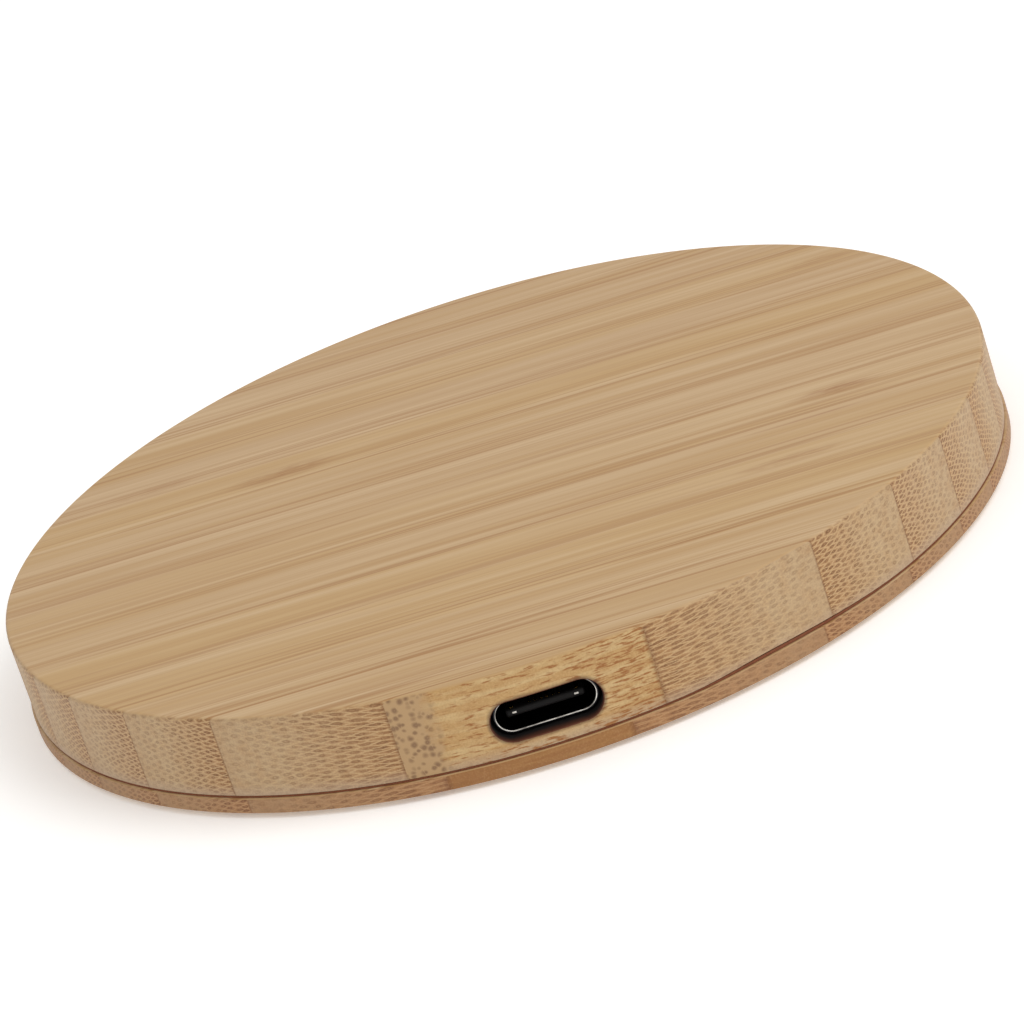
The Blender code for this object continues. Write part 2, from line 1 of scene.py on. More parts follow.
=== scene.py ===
"""A round bamboo wireless charging pad with a USB-C inlet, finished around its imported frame.

The sections follow the pad as it is put together: body, base, tape, inlet, board, coil, feet.
"""
import math
from functools import partial
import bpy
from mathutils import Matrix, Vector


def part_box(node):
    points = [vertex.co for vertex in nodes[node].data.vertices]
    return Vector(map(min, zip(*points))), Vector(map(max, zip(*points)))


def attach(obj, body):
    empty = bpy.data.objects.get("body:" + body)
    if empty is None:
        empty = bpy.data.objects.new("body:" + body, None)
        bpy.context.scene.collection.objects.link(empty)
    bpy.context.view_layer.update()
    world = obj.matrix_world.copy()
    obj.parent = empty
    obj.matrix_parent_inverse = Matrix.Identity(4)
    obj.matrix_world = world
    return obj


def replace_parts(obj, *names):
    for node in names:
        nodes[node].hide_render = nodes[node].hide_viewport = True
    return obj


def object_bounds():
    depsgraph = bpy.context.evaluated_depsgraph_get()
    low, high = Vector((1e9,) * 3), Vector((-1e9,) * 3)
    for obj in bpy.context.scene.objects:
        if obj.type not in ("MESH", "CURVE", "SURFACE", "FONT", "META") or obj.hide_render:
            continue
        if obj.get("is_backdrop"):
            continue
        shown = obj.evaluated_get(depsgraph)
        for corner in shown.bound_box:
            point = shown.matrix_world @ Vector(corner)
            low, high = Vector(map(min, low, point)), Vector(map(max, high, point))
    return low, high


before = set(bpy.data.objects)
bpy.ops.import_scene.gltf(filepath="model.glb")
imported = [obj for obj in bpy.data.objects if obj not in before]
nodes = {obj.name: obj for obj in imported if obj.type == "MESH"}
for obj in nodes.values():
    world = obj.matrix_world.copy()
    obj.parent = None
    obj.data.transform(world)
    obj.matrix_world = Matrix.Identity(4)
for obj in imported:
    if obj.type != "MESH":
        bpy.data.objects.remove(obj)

from types import SimpleNamespace

import bmesh
import bpy
from mathutils import Matrix, Vector

cad_low, cad_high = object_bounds()
MM = 0.001

# --- Camera, floor and light -------------------------------------------------------------
# A long lens on a tripod that leans to one side, looking down at the rim with the inlet.
# The pad stands on a plain white sheet, lit by one large softbox at the right and white walls.

body_low, body_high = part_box("upper_body")
base_low, base_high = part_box("base_plate")
PAD_RADIUS = (body_high.x - body_low.x) / 2

CAMERA_TURN = math.radians(2.09)
CAMERA_ELEVATION = math.radians(21.76)
CAMERA_ROLL = -0.3176
CAMERA_DISTANCE = 10.169 * PAD_RADIUS
CAMERA_LENS_MM = 177.11
CAMERA_AIM_X = 0.0069 * PAD_RADIUS
CAMERA_AIM_Y = 0.2177 * PAD_RADIUS


def direction(turn, elevation):
    """The way out from the pad, at a turn round it from the inlet's side and an elevation above it."""
    level = math.cos(elevation)
    return Vector((math.sin(turn) * level, -math.cos(turn) * level, math.sin(elevation)))


camera_back = direction(CAMERA_TURN, CAMERA_ELEVATION)
camera_aim = Vector((CAMERA_AIM_X, CAMERA_AIM_Y, base_low.z))
camera_right = Vector((0, 0, 1)).cross(camera_back).normalized()
camera_turn = Matrix((camera_right, camera_back.cross(camera_right), camera_back)).transposed().to_4x4()
camera = bpy.data.objects.new("camera", bpy.data.cameras.new("camera"))
camera.data.sensor_width = 36
camera.data.lens = CAMERA_LENS_MM
camera.data.clip_start = 0.01
camera.matrix_world = (
    Matrix.Translation(camera_aim + camera_back * CAMERA_DISTANCE)
    @ camera_turn
    @ Matrix.Rotation(CAMERA_ROLL, 4, "Z")
)
bpy.context.scene.collection.objects.link(camera)
bpy.context.scene.camera = camera
bpy.context.scene.view_settings.view_transform = "Standard"


def linear(hex_value):
    """An sRGB hex colour as the linear values that a shader takes."""
    channels = [int(hex_value[i : i + 2], 16) / 255 for i in (1, 3, 5)]
    return (*[c / 12.92 if c <= 0.04045 else ((c + 0.055) / 1.055) ** 2.4 for c in channels], 1.0)


def add(tree, kind, *fed, out=0, named=None, **settings):
    """Adds a shader node, sets it up, and feeds it numbers or other nodes' outputs. Returns one output."""
    made = tree.nodes.new("ShaderNode" + kind)
    for key, value in settings.items():
        setattr(made, key, value)
    for key, value in [*enumerate(fed), *(named or {}).items()]:
        if isinstance(value, bpy.types.NodeSocket):
            tree.links.new(value, made.inputs[key])
        elif value is not None:
            made.inputs[key].default_value = value
    return made.outputs[out]


def new_material(name, **principled):
    """A material with one Principled shader. Returns it with its node tree and the shader's inputs."""
    made = bpy.data.materials.new(name)
    made.use_nodes = True
    shader = made.node_tree.nodes["Principled BSDF"]
    for key, value in principled.items():
        shader.inputs[key.replace("_", " ")].default_value = value
    return made, made.node_tree, shader.inputs


# Matt white seamless paper: no visible grain, only a trace of unevenness.
paper, tree, shader = new_material("seamless_paper", Roughness=0.9, Emission_Color=(1, 1, 1, 1),
                                   Emission_Strength=0.2)
fibre = add(tree, "TexNoise", named={"Scale": 40.0, "Detail": 3.0})
tone = add(tree, "Mix", fibre, data_type="RGBA", named={6: linear("#fbfbfb"), 7: linear("#ffffff")}, out=2)
tree.links.new(tone, shader["Base Color"])

FLOOR_SIZE = 4.0
FLOOR_GAP = 0.01 * MM
mesh = bmesh.new()
bmesh.ops.create_grid(mesh, x_segments=1, y_segments=1, size=FLOOR_SIZE / 2,
                      matrix=Matrix.Translation((0, 0, cad_low.z - FLOOR_GAP)))
floor = bpy.data.objects.new("floor", bpy.data.meshes.new("floor"))
mesh.to_mesh(floor.data)
mesh.free()
floor.data.materials.append(paper)
bpy.context.scene.collection.objects.link(floor)
floor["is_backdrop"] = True

KEY_TURN = math.radians(60)
KEY_ELEVATION = math.radians(50)
KEY_SIZE = 0.5
KEY_DISTANCE = 0.8
KEY_WATTS = 2.1
WALL_STRENGTH = 0.76
to_key = direction(KEY_TURN, KEY_ELEVATION)
key = bpy.data.objects.new("key_softbox", bpy.data.lights.new("key_softbox", "AREA"))
key.data.size = KEY_SIZE
key.data.energy = KEY_WATTS
key.matrix_world = (
    Matrix.Translation(to_key * KEY_DISTANCE) @ to_key.to_track_quat("Z", "Y").to_matrix().to_4x4()
)
bpy.context.scene.collection.objects.link(key)
world = bpy.data.worlds.new("white_walls")
world.use_nodes = True
walls = world.node_tree.nodes["Background"].inputs
walls["Color"].default_value = linear("#fffdfa")
walls["Strength"].default_value = WALL_STRENGTH
bpy.context.scene.world = world

# --- Upper body --------------------------------------------------------------------------
# One disc of laminated bamboo: strips about 6.7 mm wide, glued side by side, turned to a disc
# and hollowed from below. The inlet's hole is cut through the rim by laser, which chars it.

TOP_EDGE_RADIUS = 0.36 * MM
LOWER_EDGE_RADIUS = 0.08 * MM
TOP_WALL = 1.7 * MM
POCKET_RADIUS = 40.5 * MM
PORT_WIDTH = 9.6 * MM
PORT_HEIGHT = 3.75 * MM
shell_low, shell_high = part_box("usb_c_shell")
SHELL_HEIGHT = 3.26 * MM
PORT_Z = shell_high.z - SHELL_HEIGHT / 2

SHARP_ANGLE = math.radians(35)
# Points this close count as being in one place
CLOSE = 0.01 * MM
# Object coordinates turned to millimetres, for a pattern to follow
IN_MM = {"Scale": (1 / MM,) * 3}

# The glued joint opens a little between these turns right of the inlet, in degrees
LIFT_START = 14
LIFT_PEAK = 25
LIFT_END = 45
BODY_LIFT = 0.4 * MM


def glued_hump(x, y, height):
    """How far the glued edge is lifted where the two discs don't quite meet, right of the inlet."""
    turn = math.degrees(math.atan2(x, -y))
    if turn < LIFT_PEAK:
        rise = (turn - LIFT_START) / (LIFT_PEAK - LIFT_START)
    else:
        rise = (LIFT_END - turn) / (LIFT_END - LIFT_PEAK)
    rise = min(max(rise, 0), 1)
    return height * rise * rise * (3 - 2 * rise)


def turned(profile, centre=(0, 0), steps=288):
    """Spins an outline of (radius, height) points about an upright axis, and closes it."""
    made = bmesh.new()
    corners = [made.verts.new((centre[0] + radius, centre[1], height)) for radius, height in profile]
    edges = [made.edges.new(pair) for pair in zip(corners, corners[1:])]
    if profile[0][0] > 0:
        edges.append(made.edges.new((corners[-1], corners[0])))
    bmesh.ops.spin(made, geom=[*corners, *edges], cent=(*centre, 0), axis=(0, 0, 1),
                   angle=math.tau, steps=steps, use_merge=True)
    bmesh.ops.remove_doubles(made, verts=made.verts, dist=0.001 * MM)
    bmesh.ops.recalc_face_normals(made, faces=made.faces)
    return made


def rounded(mesh, edges, radius, segments):
    """Rounds some of a mesh's edges."""
    bmesh.ops.bevel(mesh, geom=edges, offset=radius, offset_type="OFFSET", segments=segments,
                    profile=0.5, affect="EDGES", material=-1)
    return mesh


def round_over(mesh, radius, height, offset, segments):
    """Bevels the circular edge at one radius and height."""
    rim = [
        edge
        for edge in mesh.edges
        if all(
            abs(v.co.xy.length - radius) < CLOSE and abs(v.co.z - height) < CLOSE
            for v in edge.verts
        )
    ]
    rounded(mesh, rim, offset, segments)


def stadium_ring(mesh, width, height, place, segments=42, cuts=7):
    """A stadium outline across Y, with extra points along its straight sides. Returns its points."""
    turn = Matrix.Rotation(math.pi / 2, 4, "X") @ Matrix.Rotation(math.pi / 2, 4, "Z")
    radius = height / 2 / math.cos(math.pi / segments)
    known = set(mesh.verts)
    bmesh.ops.create_circle(mesh, segments=segments, radius=radius, matrix=Matrix.Translation(place) @ turn)
    for v in set(mesh.verts) - known:
        v.co.x += math.copysign((width - height) / 2, v.co.x - place[0])
    long_enough = (width - height) * 0.9
    straight = [e for e in mesh.edges if e.calc_length() > long_enough and not set(e.verts) & known]
    if cuts:
        bmesh.ops.subdivide_edges(mesh, edges=straight, cuts=cuts)
    return [v for v in mesh.verts if v not in known]


def next_ring(mesh, ring, core, outward, depth):
    """Extrudes a stadium outline, moves it outward from its core line, and sets its depth at each x."""
    edges = [e for e in mesh.edges if e.verts[0] in ring and e.verts[1] in ring]
    extruded = bmesh.ops.extrude_edge_only(mesh, edges=edges)["geom"]
    made = {v for v in extruded if isinstance(v, bmesh.types.BMVert)}
    for v in made:
        beside = max(-core, min(core, v.co.x))
        v.co += Vector((v.co.x - beside, 0, v.co.z - PORT_Z)).normalized() * outward
        v.co.y = depth(v.co.x)
    return made


def capped(mesh, *rings):
    """Closes each open ring of points with one face."""
    for ring in rings:
        edges = [e for e in mesh.edges if e.verts[0] in ring and e.verts[1] in ring]
        bmesh.ops.contextual_create(mesh, geom=edges)


def finished(name, mesh, materials):
    """Puts a finished mesh in the scene as a piece that rides on the pad and has its own material."""
    piece = bpy.data.objects.new(name, bpy.data.meshes.new(name))
    mesh.to_mesh(piece.data)
    mesh.free()
    piece.data.shade_smooth()
    piece.data.set_sharp_from_angle(angle=SHARP_ANGLE)
    for used in materials:
        piece.data.materials.append(used)
    bpy.context.scene.collection.objects.link(piece)
    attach(piece, "root")
    return piece


def combine(piece, other, operation="DIFFERENCE"):
    """Cuts a closed shape out of a piece, or joins it on, for good. Its walls keep their material number."""
    tool = bpy.data.objects.new("tool", bpy.data.meshes.new("tool"))
    other.to_mesh(tool.data)
    other.free()
    for used in piece.data.materials:
        tool.data.materials.append(used)
    bpy.context.scene.collection.objects.link(tool)
    boolean = piece.modifiers.new("combine", "BOOLEAN")
    boolean.operation = operation
    boolean.solver = "EXACT"
    boolean.use_self = operation == "UNION"
    boolean.object = tool
    bpy.context.view_layer.update()
    result = bpy.data.meshes.new_from_object(piece.evaluated_get(bpy.context.evaluated_depsgraph_get()))
    piece.modifiers.clear()
    piece.data = result
    piece.data.set_sharp_from_angle(angle=SHARP_ANGLE)
    bpy.data.objects.remove(tool)


# Laminated bamboo, sanded and left matt. On the flat faces each strip shows fine lines along the
# grain, close and dark at its outer skin side and plain at the other. On the rim the same fibre
# bundles are cut across, as rows of brown dots in a pale net. Its sizes here are in millimetres.
GRAIN_TURN = math.radians(2.05)
STRIP_PITCH = 6.7
FIRST_SEAM = -43.65
# The columns of bundles across a strip were counted for bundles 0.56 mm apart
BUNDLE_SPACING = 0.42
COUNTED_SPACING = 0.56
COLUMNS = 11.6
COLUMN_THINNING = -2.2
STRIP_SHUFFLE = 40.0
NODE_HALF = 2.6
NODE_MARKS = (
    # x and y in pad radii, half length and half width in mm, and strength
    (-0.41, 0.30, 7.0, 2.0, 0.75),
    (-0.69, 0.43, 6.0, 1.6, 0.35),
    (0.69, -0.17, 5.5, 1.7, 0.8),
    (0.56, -0.44, 6.0, 1.2, 0.65),
    (0.76, 0.55, 5.0, 1.5, 0.45),
)
RED_STREAKS = (
    (-0.25, -0.20, 7.0, 0.22, 0.7),
    (-0.39, -0.50, 8.0, 0.2, 0.6),
    (0.09, -0.51, 7.0, 0.2, 0.55),
    (0.46, -0.54, 9.0, 0.22, 0.6),
    (0.62, -0.27, 8.0, 0.25, 0.65),
    (-0.05, 0.12, 9.0, 0.2, 0.35),
)


def stained(put, ground, *layers):
    """Lays colours over a ground one after another, each by its own share."""
    for share, colour in layers:
        ground = put("Mix", share, named={6: ground, 7: colour}, data_type="RGBA", out=2)
    return ground


def lamination(put, first_seam):
    """The strips that the wood is glued from: where a point lies in them, and the noises they share."""
    place = put("Mapping", put("TexCoord", out="Object"),
                named={"Rotation": (0, 0, GRAIN_TURN), "Scale": (1 / MM,) * 3})
    along, across, height = put("SeparateXYZ", place).node.outputs
    facing = put("SeparateXYZ", put("TexCoord", out="Normal"), out=2)
    strip = put("Math", put("Math", across, first_seam, operation="SUBTRACT"), STRIP_PITCH,
                operation="DIVIDE")
    number = put("Math", strip, operation="FLOOR")
    chance = put("TexWhiteNoise", named={"W": number}, noise_dimensions="1D", out="Color")
    wander = put("TexNoise", put("VectorMath", place, (1 / 45, 1 / 7, 1 / 9), operation="MULTIPLY"),
                 named={"Scale": 1.0, "Detail": 1.0})
    uneven = put("TexNoise", place, named={"Scale": 1.6, "Detail": 1.0}, out="Color")
    return SimpleNamespace(
        place=place,
        along=along,
        across=across,
        height=height,
        level=put("Math", facing, operation="ABSOLUTE"),
        depth=put("Math", strip, operation="FRACT"),
        outer=put("Math", number, -0.5, operation="LESS_THAN"),
        chances=put("SeparateColor", chance).node.outputs[:3],
        wander=put("Math", wander, 0.5, operation="SUBTRACT"),
        uneven=put("VectorMath", uneven, (0.5, 0.5, 0.5), operation="SUBTRACT"),
        mottle=put("TexNoise", place, named={"Scale": 0.9, "Detail": 3.0, "Roughness": 0.6}),
    )


def fibre_bundles(put, wood, foot):
    """Bundles cut across, in staggered columns, and the pale net between them."""
    column = put("Math", put("Math", wood.depth, COLUMN_THINNING, COLUMNS, operation="MULTIPLY_ADD"),
                 wood.depth, operation="MULTIPLY")
    column = put("Math", column, wood.wander, operation="ADD")
    column = put("Math", put("Math", wood.chances[0], STRIP_SHUFFLE, column, operation="MULTIPLY_ADD"),
                 COUNTED_SPACING / BUNDLE_SPACING, operation="MULTIPLY")
    row_pitch = put("MapRange", wood.depth, 0.0, 1.0, BUNDLE_SPACING, BUNDLE_SPACING * 1.45)
    row = put("Math", put("Math", wood.height, 5.0, operation="SUBTRACT"), row_pitch, operation="DIVIDE")
    row = put("Math", put("Math", wood.chances[1], STRIP_SHUFFLE, row, operation="MULTIPLY_ADD"),
              put("Math", wood.wander, 1.6, operation="MULTIPLY"), operation="ADD")
    half = put("Math", column, 0.5, operation="MULTIPLY")
    lattice = put("CombineXYZ", put("Math", half, row, operation="ADD"),
                  put("Math", half, row, operation="SUBTRACT"))
    lattice = put("VectorMath", lattice,
                  put("VectorMath", wood.uneven, (0.34, 0.34, 0.0), operation="MULTIPLY"), operation="ADD")

    # Each bundle is an ellipse of its own size and tone, lighter in its middle, where its vessels are
    scatter = {"Scale": 1.0, "Randomness": 0.45}
    cell = put("TexVoronoi", lattice, named=scatter, voronoi_dimensions="2D").node
    own_tone, own_size, _ = put("SeparateColor", cell.outputs["Color"]).node.outputs
    offset = put("VectorMath", lattice, cell.outputs["Position"], operation="SUBTRACT")
    off_p, off_q, _ = put("SeparateXYZ", offset).node.outputs
    side_step = put("Math", put("Math", off_p, off_q, operation="ADD"),
                    put("MapRange", wood.depth, 0.0, 0.6, 1.9, 2.8), operation="MULTIPLY")
    up_step = put("Math", put("Math", off_p, off_q, operation="SUBTRACT"),
                  put("MapRange", wood.depth, 0.0, 0.6, 1.8, 1.45), operation="MULTIPLY")
    away = put("VectorMath", put("CombineXYZ", side_step, up_step), operation="LENGTH", out="Value")
    away = put("Math", away, put("MapRange", own_size, 0.0, 1.0, 0.8, 1.15), operation="DIVIDE")
    vessels = put("MapRange", away, 0.55, 0.15)
    bundles = put("Math", put("MapRange", away, 1.0, 0.6),
                  put("Math", vessels, -0.75, 1.0, operation="MULTIPLY_ADD"), operation="MULTIPLY")
    bundles = put("Math", bundles, put("MapRange", own_tone, 0.0, 1.0, 0.65, 1.15), operation="MULTIPLY")
    edge = put("TexVoronoi", lattice, named=scatter, voronoi_dimensions="2D", feature="DISTANCE_TO_EDGE")
    net = put("MapRange", edge, 0.15, 0.04)

    # Both show most at a strip's dense side, fade at the foot, and are absent in the outermost strip
    dense = put("MapRange", wood.depth, 0.03, 0.9, 1.0, 0.0)
    foot_fade = put("MapRange", wood.height, foot + 0.15, foot + 1.0, 0.3, 1.0)
    bundle_strength = put("Math", put("Math", dense, 0.55, 0.5, operation="MULTIPLY_ADD"), foot_fade,
                          operation="MULTIPLY")
    bundle_strength = put("Math", bundle_strength, put("MapRange", wood.chances[1], 0.0, 1.0, 0.65, 1.0),
                          operation="MULTIPLY")
    net_strength = put("Math", put("Math", dense, 0.42, 0.1, operation="MULTIPLY_ADD"), foot_fade,
                       operation="MULTIPLY")
    across_grain = put("Math", 1.0, wood.outer, operation="SUBTRACT")
    bundles = put("Math", bundles, across_grain, operation="MULTIPLY")
    net_strength = put("Math", net_strength, across_grain, operation="MULTIPLY")
    return (put("Math", bundles, bundle_strength, operation="MULTIPLY"),
            put("Math", net, net_strength, operation="MULTIPLY"))


def rim_colour(put, wood, bundles, net, seam, colours, foot, outer_dashes):
    """The wood cut across at the rim: ground tone, bundles, net, seams and grit."""
    # The outermost strip is cut nearly along its fibres, which show as short streaks instead
    dashes = put("TexNoise", put("VectorMath", wood.place, (0.9, 0.5, 5.5), operation="MULTIPLY"),
                 named={"Scale": 1.0, "Detail": 1.0})
    dashes = put("MapRange", put("Math", wood.along, 0.007, dashes, operation="MULTIPLY_ADD"), 0.54, 0.68)
    dashes = put("Math", put("Math", dashes, wood.outer, operation="MULTIPLY"), outer_dashes,
                 operation="MULTIPLY")
    broad = put("TexNoise", put("VectorMath", wood.place, (0.12, 0.4, 1.8), operation="MULTIPLY"),
                named={"Scale": 1.0, "Detail": 2.0})
    outer_ground = stained(put, colours["rim_outer"],
                           (put("MapRange", broad, 0.45, 0.62), colours["rim_outer_light"]))
    to_plain_side = put("MapRange", wood.depth, 0.0, 0.6)
    bundle_colour = stained(put, colours["cap_dense"], (to_plain_side, colours["cap_plain"]))
    upright_only = put("MapRange", wood.level, 0.1, 0.5, 0.5, 0.1)
    grit = put("TexNoise", wood.place, named={"Scale": 6.0, "Detail": 2.0})
    return stained(
        put,
        colours["rim_dense"],
        (to_plain_side, colours["rim_plain"]),
        (put("Math", wood.chances[2], 0.35, operation="MULTIPLY"), colours["rim_pink"]),
        (wood.outer, outer_ground),
        (put("MapRange", wood.mottle, 0.4, 0.7, 0.0, 0.3), colours["rim_dense"]),
        (put("MapRange", wood.height, foot + 1.1, foot + 0.1, 0.0, 0.7), colours["rim_foot"]),
        (bundles, bundle_colour),
        (net, colours["net"]),
        (dashes, colours["cap_outer"]),
        (put("Math", seam, upright_only, operation="MULTIPLY"), colours["cap_dense"]),
        (put("MapRange", grit, 0.48, 0.75, 0.0, 0.22), colours["cap_plain"]),
        (put("MapRange", grit, 0.5, 0.28, 0.0, 0.22), colours["net"]),
    )


def culm_node(put, wood, colours, node_at):
    """A node of the culm crosses the outermost strip, and its fibres swirl into dots: a share and colour."""
    swirl = put("VectorMath", wood.place, (1.6, 0.15, 1.75), operation="MULTIPLY")
    swirl = put("VectorMath", wood.uneven, (0.35, 0.0, 0.4), swirl, operation="MULTIPLY_ADD")
    knot = put("TexVoronoi", swirl, named={"Scale": 1.0, "Randomness": 0.85}).node
    size = put("MapRange", put("SeparateColor", knot.outputs["Color"]), 0.0, 1.0, 0.7, 1.25)
    away = put("Math", knot.outputs["Distance"], size, operation="DIVIDE")
    heart = put("MapRange", away, 0.2, 0.05, 0.0, 0.2)
    dots = put("Math", put("MapRange", away, 0.52, 0.18), heart, operation="SUBTRACT")
    near = put("Math", put("Math", wood.along, node_at, operation="SUBTRACT"), operation="ABSOLUTE")
    near = put("Math", put("Math", wood.mottle, 3.0, operation="MULTIPLY"), near, operation="ADD")
    near = put("MapRange", near, NODE_HALF + 2.1, NODE_HALF + 0.9)
    dotted = stained(put, colours["node_ground"],
                     (put("Math", dots, 0.75, operation="MULTIPLY"), colours["node_dot"]))
    return put("Math", near, wood.outer, operation="MULTIPLY"), dotted


def smoke_halo(put, wood):
    """How much smoke from the laser has browned the wood, close round the inlet's hole."""
    from_port = put("Mapping", put("TexCoord", out="Object"), named=IN_MM)
    port_x, port_y, port_z = put("SeparateXYZ", from_port).node.outputs
    core = (PORT_WIDTH - PORT_HEIGHT) / 2 / MM
    beside = put("Math", put("Math", port_x, operation="ABSOLUTE"), core, operation="SUBTRACT")
    beside = put("Math", beside, 0.0, operation="MAXIMUM")
    above = put("Math", port_z, PORT_Z / MM, operation="SUBTRACT")
    away = put("VectorMath", put("CombineXYZ", beside, above), operation="LENGTH", out="Value")
    away = put("Math", wood.mottle, 0.25, away, operation="MULTIPLY_ADD")
    edge_at = PORT_HEIGHT / 2 / MM + 0.12
    smoke = put("MapRange", away, edge_at + 0.32, edge_at, 0.0, 0.6, interpolation_type="SMOOTHSTEP")
    return put("Math", smoke, put("Math", port_y, 0.0, operation="LESS_THAN"), operation="MULTIPLY")


def face_colour(put, wood, seam, colours, marks, streaks):
    """The flat faces: bands, fine fibres, and tapering lines by each seam. Returns colour and relief."""
    bands = put("TexNoise", put("VectorMath", wood.place, (1 / 70, 1 / 1.7, 0.1), operation="MULTIPLY"),
                named={"Scale": 1.0, "Detail": 2.0})
    fine = put("TexNoise", put("VectorMath", wood.place, (1 / 14, 1 / 0.26, 0.4), operation="MULTIPLY"),
               named={"Scale": 1.0, "Detail": 2.5, "Roughness": 0.6})
    lines = put("TexNoise", put("VectorMath", wood.place, (1 / 22, 1 / 0.5, 0.3), operation="MULTIPLY"),
                named={"Scale": 1.0, "Detail": 1.0})
    long_lines = put("TexNoise", put("VectorMath", wood.place, (1 / 75, 1 / 0.34, 0.7), operation="MULTIPLY"),
                     named={"Scale": 1.0, "Detail": 0.5})
    lines = put("MapRange", lines, 0.48, 0.7)
    lines = put("Math", lines, put("MapRange", long_lines, 0.5, 0.64, 0.0, 0.9), operation="MAXIMUM")
    lines = put("Math", lines, put("MapRange", wood.depth, 0.0, 0.62, 1.0, 0.22), operation="MULTIPLY")
    line_strength = put("MapRange", wood.across, -22.0, -38.0, 0.85, 1.35)
    face = stained(
        put,
        colours["face_grey"],
        (wood.chances[2], colours["face_yellow"]),
        (put("MapRange", bands, 0.36, 0.52, 0.5, 0.0), colours["face_brown"]),
        (put("MapRange", bands, 0.5, 0.66, 0.0, 0.75), colours["face_light"]),
        (put("MapRange", fine, 0.45, 0.75, 0.0, 0.4), colours["face_fibre"]),
        (put("Math", lines, line_strength, operation="MULTIPLY"), colours["face_line"]),
        (put("Math", seam, 0.1, operation="MULTIPLY"), colours["face_line"]),
    )

    # Node marks and short reddish streaks, each an ellipse broken up by the fibres
    speckle = put("TexNoise", put("VectorMath", wood.place, (1 / 2.5, 1 / 0.3, 0.5), operation="MULTIPLY"),
                  named={"Scale": 1.0, "Detail": 2.0, "Roughness": 0.7})
    for group, grain, colour in ((marks, speckle, colours["mark"]), (streaks, fine, colours["streak"])):
        for x, y, half_length, half_width, strength in group:
            centre = Vector((x * PAD_RADIUS / MM, y * PAD_RADIUS / MM, 0))
            centre.rotate(Matrix.Rotation(GRAIN_TURN, 3, "Z"))
            step = put("VectorMath", wood.place, centre, operation="SUBTRACT")
            step = put("VectorMath", step, (1 / half_length, 1 / half_width, 0), operation="MULTIPLY")
            reach = put("VectorMath", step, operation="LENGTH", out="Value")
            reach = put("MapRange", reach, 1.0, 0.15, interpolation_type="SMOOTHSTEP")
            reach = put("Math", reach, put("MapRange", grain, 0.4, 0.62, 0.25, 1.0), operation="MULTIPLY")
            face = stained(put, face, (put("Math", reach, strength, operation="MULTIPLY"), colour))
    return face, put("Math", lines, fine, operation="ADD")


def bamboo(name, first_seam, colours, foot, marks, streaks, outer_dashes, node_at=None, scorched=False):
    """Laminated bamboo with its first glue seam at one place across the grain."""
    made, tree, shader = new_material(name, Roughness=0.58, IOR=1.5)
    put = partial(add, tree)
    wood = lamination(put, first_seam)
    seam = put("Math", put("Math", wood.depth, 0.5, operation="SUBTRACT"), operation="ABSOLUTE")
    seam = put("MapRange", seam, 0.488, 0.498)
    bundles, net = fibre_bundles(put, wood, foot)
    rim = rim_colour(put, wood, bundles, net, seam, colours, foot, outer_dashes)
    if node_at is not None:
        rim = stained(put, rim, culm_node(put, wood, colours, node_at))
    if scorched:
        rim = stained(put, rim, (smoke_halo(put, wood), colours["smoke"]))
    face, face_relief = face_colour(put, wood, seam, colours, marks, streaks)
    flat = put("MapRange", wood.level, 0.6, 0.93)
    tree.links.new(stained(put, rim, (flat, face)), shader["Base Color"])
    rim_relief = put("Math", net, bundles, operation="SUBTRACT")
    relief = put("Mix", flat, named={2: rim_relief, 3: face_relief})
    bump = put("Bump", named={"Strength": 0.25, "Distance": 0.05 * MM, "Height": relief})
    tree.links.new(bump, shader["Normal"])
    return made


body_bamboo = bamboo(
    "laminated_bamboo_sanded",
    first_seam=FIRST_SEAM,
    colours={
        "rim_dense": linear("#a0713c"),
        "rim_plain": linear("#b3966f"),
        "rim_pink": linear("#ae947a"),
        "rim_foot": linear("#ad957e"),
        "rim_outer": linear("#b8925c"),
        "rim_outer_light": linear("#c5a775"),
        "cap_dense": linear("#673a10"),
        "cap_plain": linear("#7d5c38"),
        "net": linear("#d1b384"),
        "cap_outer": linear("#935b23"),
        "node_ground": linear("#b08f65"),
        "node_dot": linear("#6a482e"),
        "smoke": linear("#3d2413"),
        "face_grey": linear("#c1a27c"),
        "face_yellow": linear("#c2a172"),
        "face_light": linear("#caad86"),
        "face_brown": linear("#b8935f"),
        "face_fibre": linear("#b49064"),
        "face_line": linear("#a57a4a"),
        "mark": linear("#9c6c3c"),
        "streak": linear("#98623a"),
    },
    foot=body_low.z / MM,
    marks=NODE_MARKS,
    streaks=RED_STREAKS,
    outer_dashes=0.95,
    node_at=-10.0,
    scorched=True,
)

# Laser-charred bamboo: the cut wall of the inlet's hole, matt and charred brown at its lip. Deeper
# in it turns near black, which is painted shade inside the hole.
charred_and_shaded_wall, tree, shader = new_material("laser_charred_bamboo_and_painted_shade", Roughness=0.8, IOR=1.45)
place = add(tree, "Mapping", add(tree, "TexCoord", out="Object"), named=IN_MM)
inward = add(tree, "SeparateXYZ", place, out=1)
soot = add(tree, "TexNoise", place, named={"Scale": 2.2, "Detail": 4.0})
reach = add(tree, "Math", add(tree, "Math", soot, 0.5, operation="SUBTRACT"), 0.5, inward,
            operation="MULTIPLY_ADD")
lip_y = -PAD_RADIUS / MM
# Brown at the lip, near black from 1 mm in: the near black is painted shade inside the hole.
share = add(tree, "MapRange", reach, lip_y, lip_y + 1.0)
char_and_painted_shade = add(tree, "Mix", share, data_type="RGBA", named={6: linear("#5c2f19"), 7: linear("#0b0605")}, out=2)
tree.links.new(char_and_painted_shade, shader["Base Color"])
tree.links.new(add(tree, "Bump", named={"Strength": 0.4, "Distance": 0.04 * MM, "Height": soot}),
               shader["Normal"])

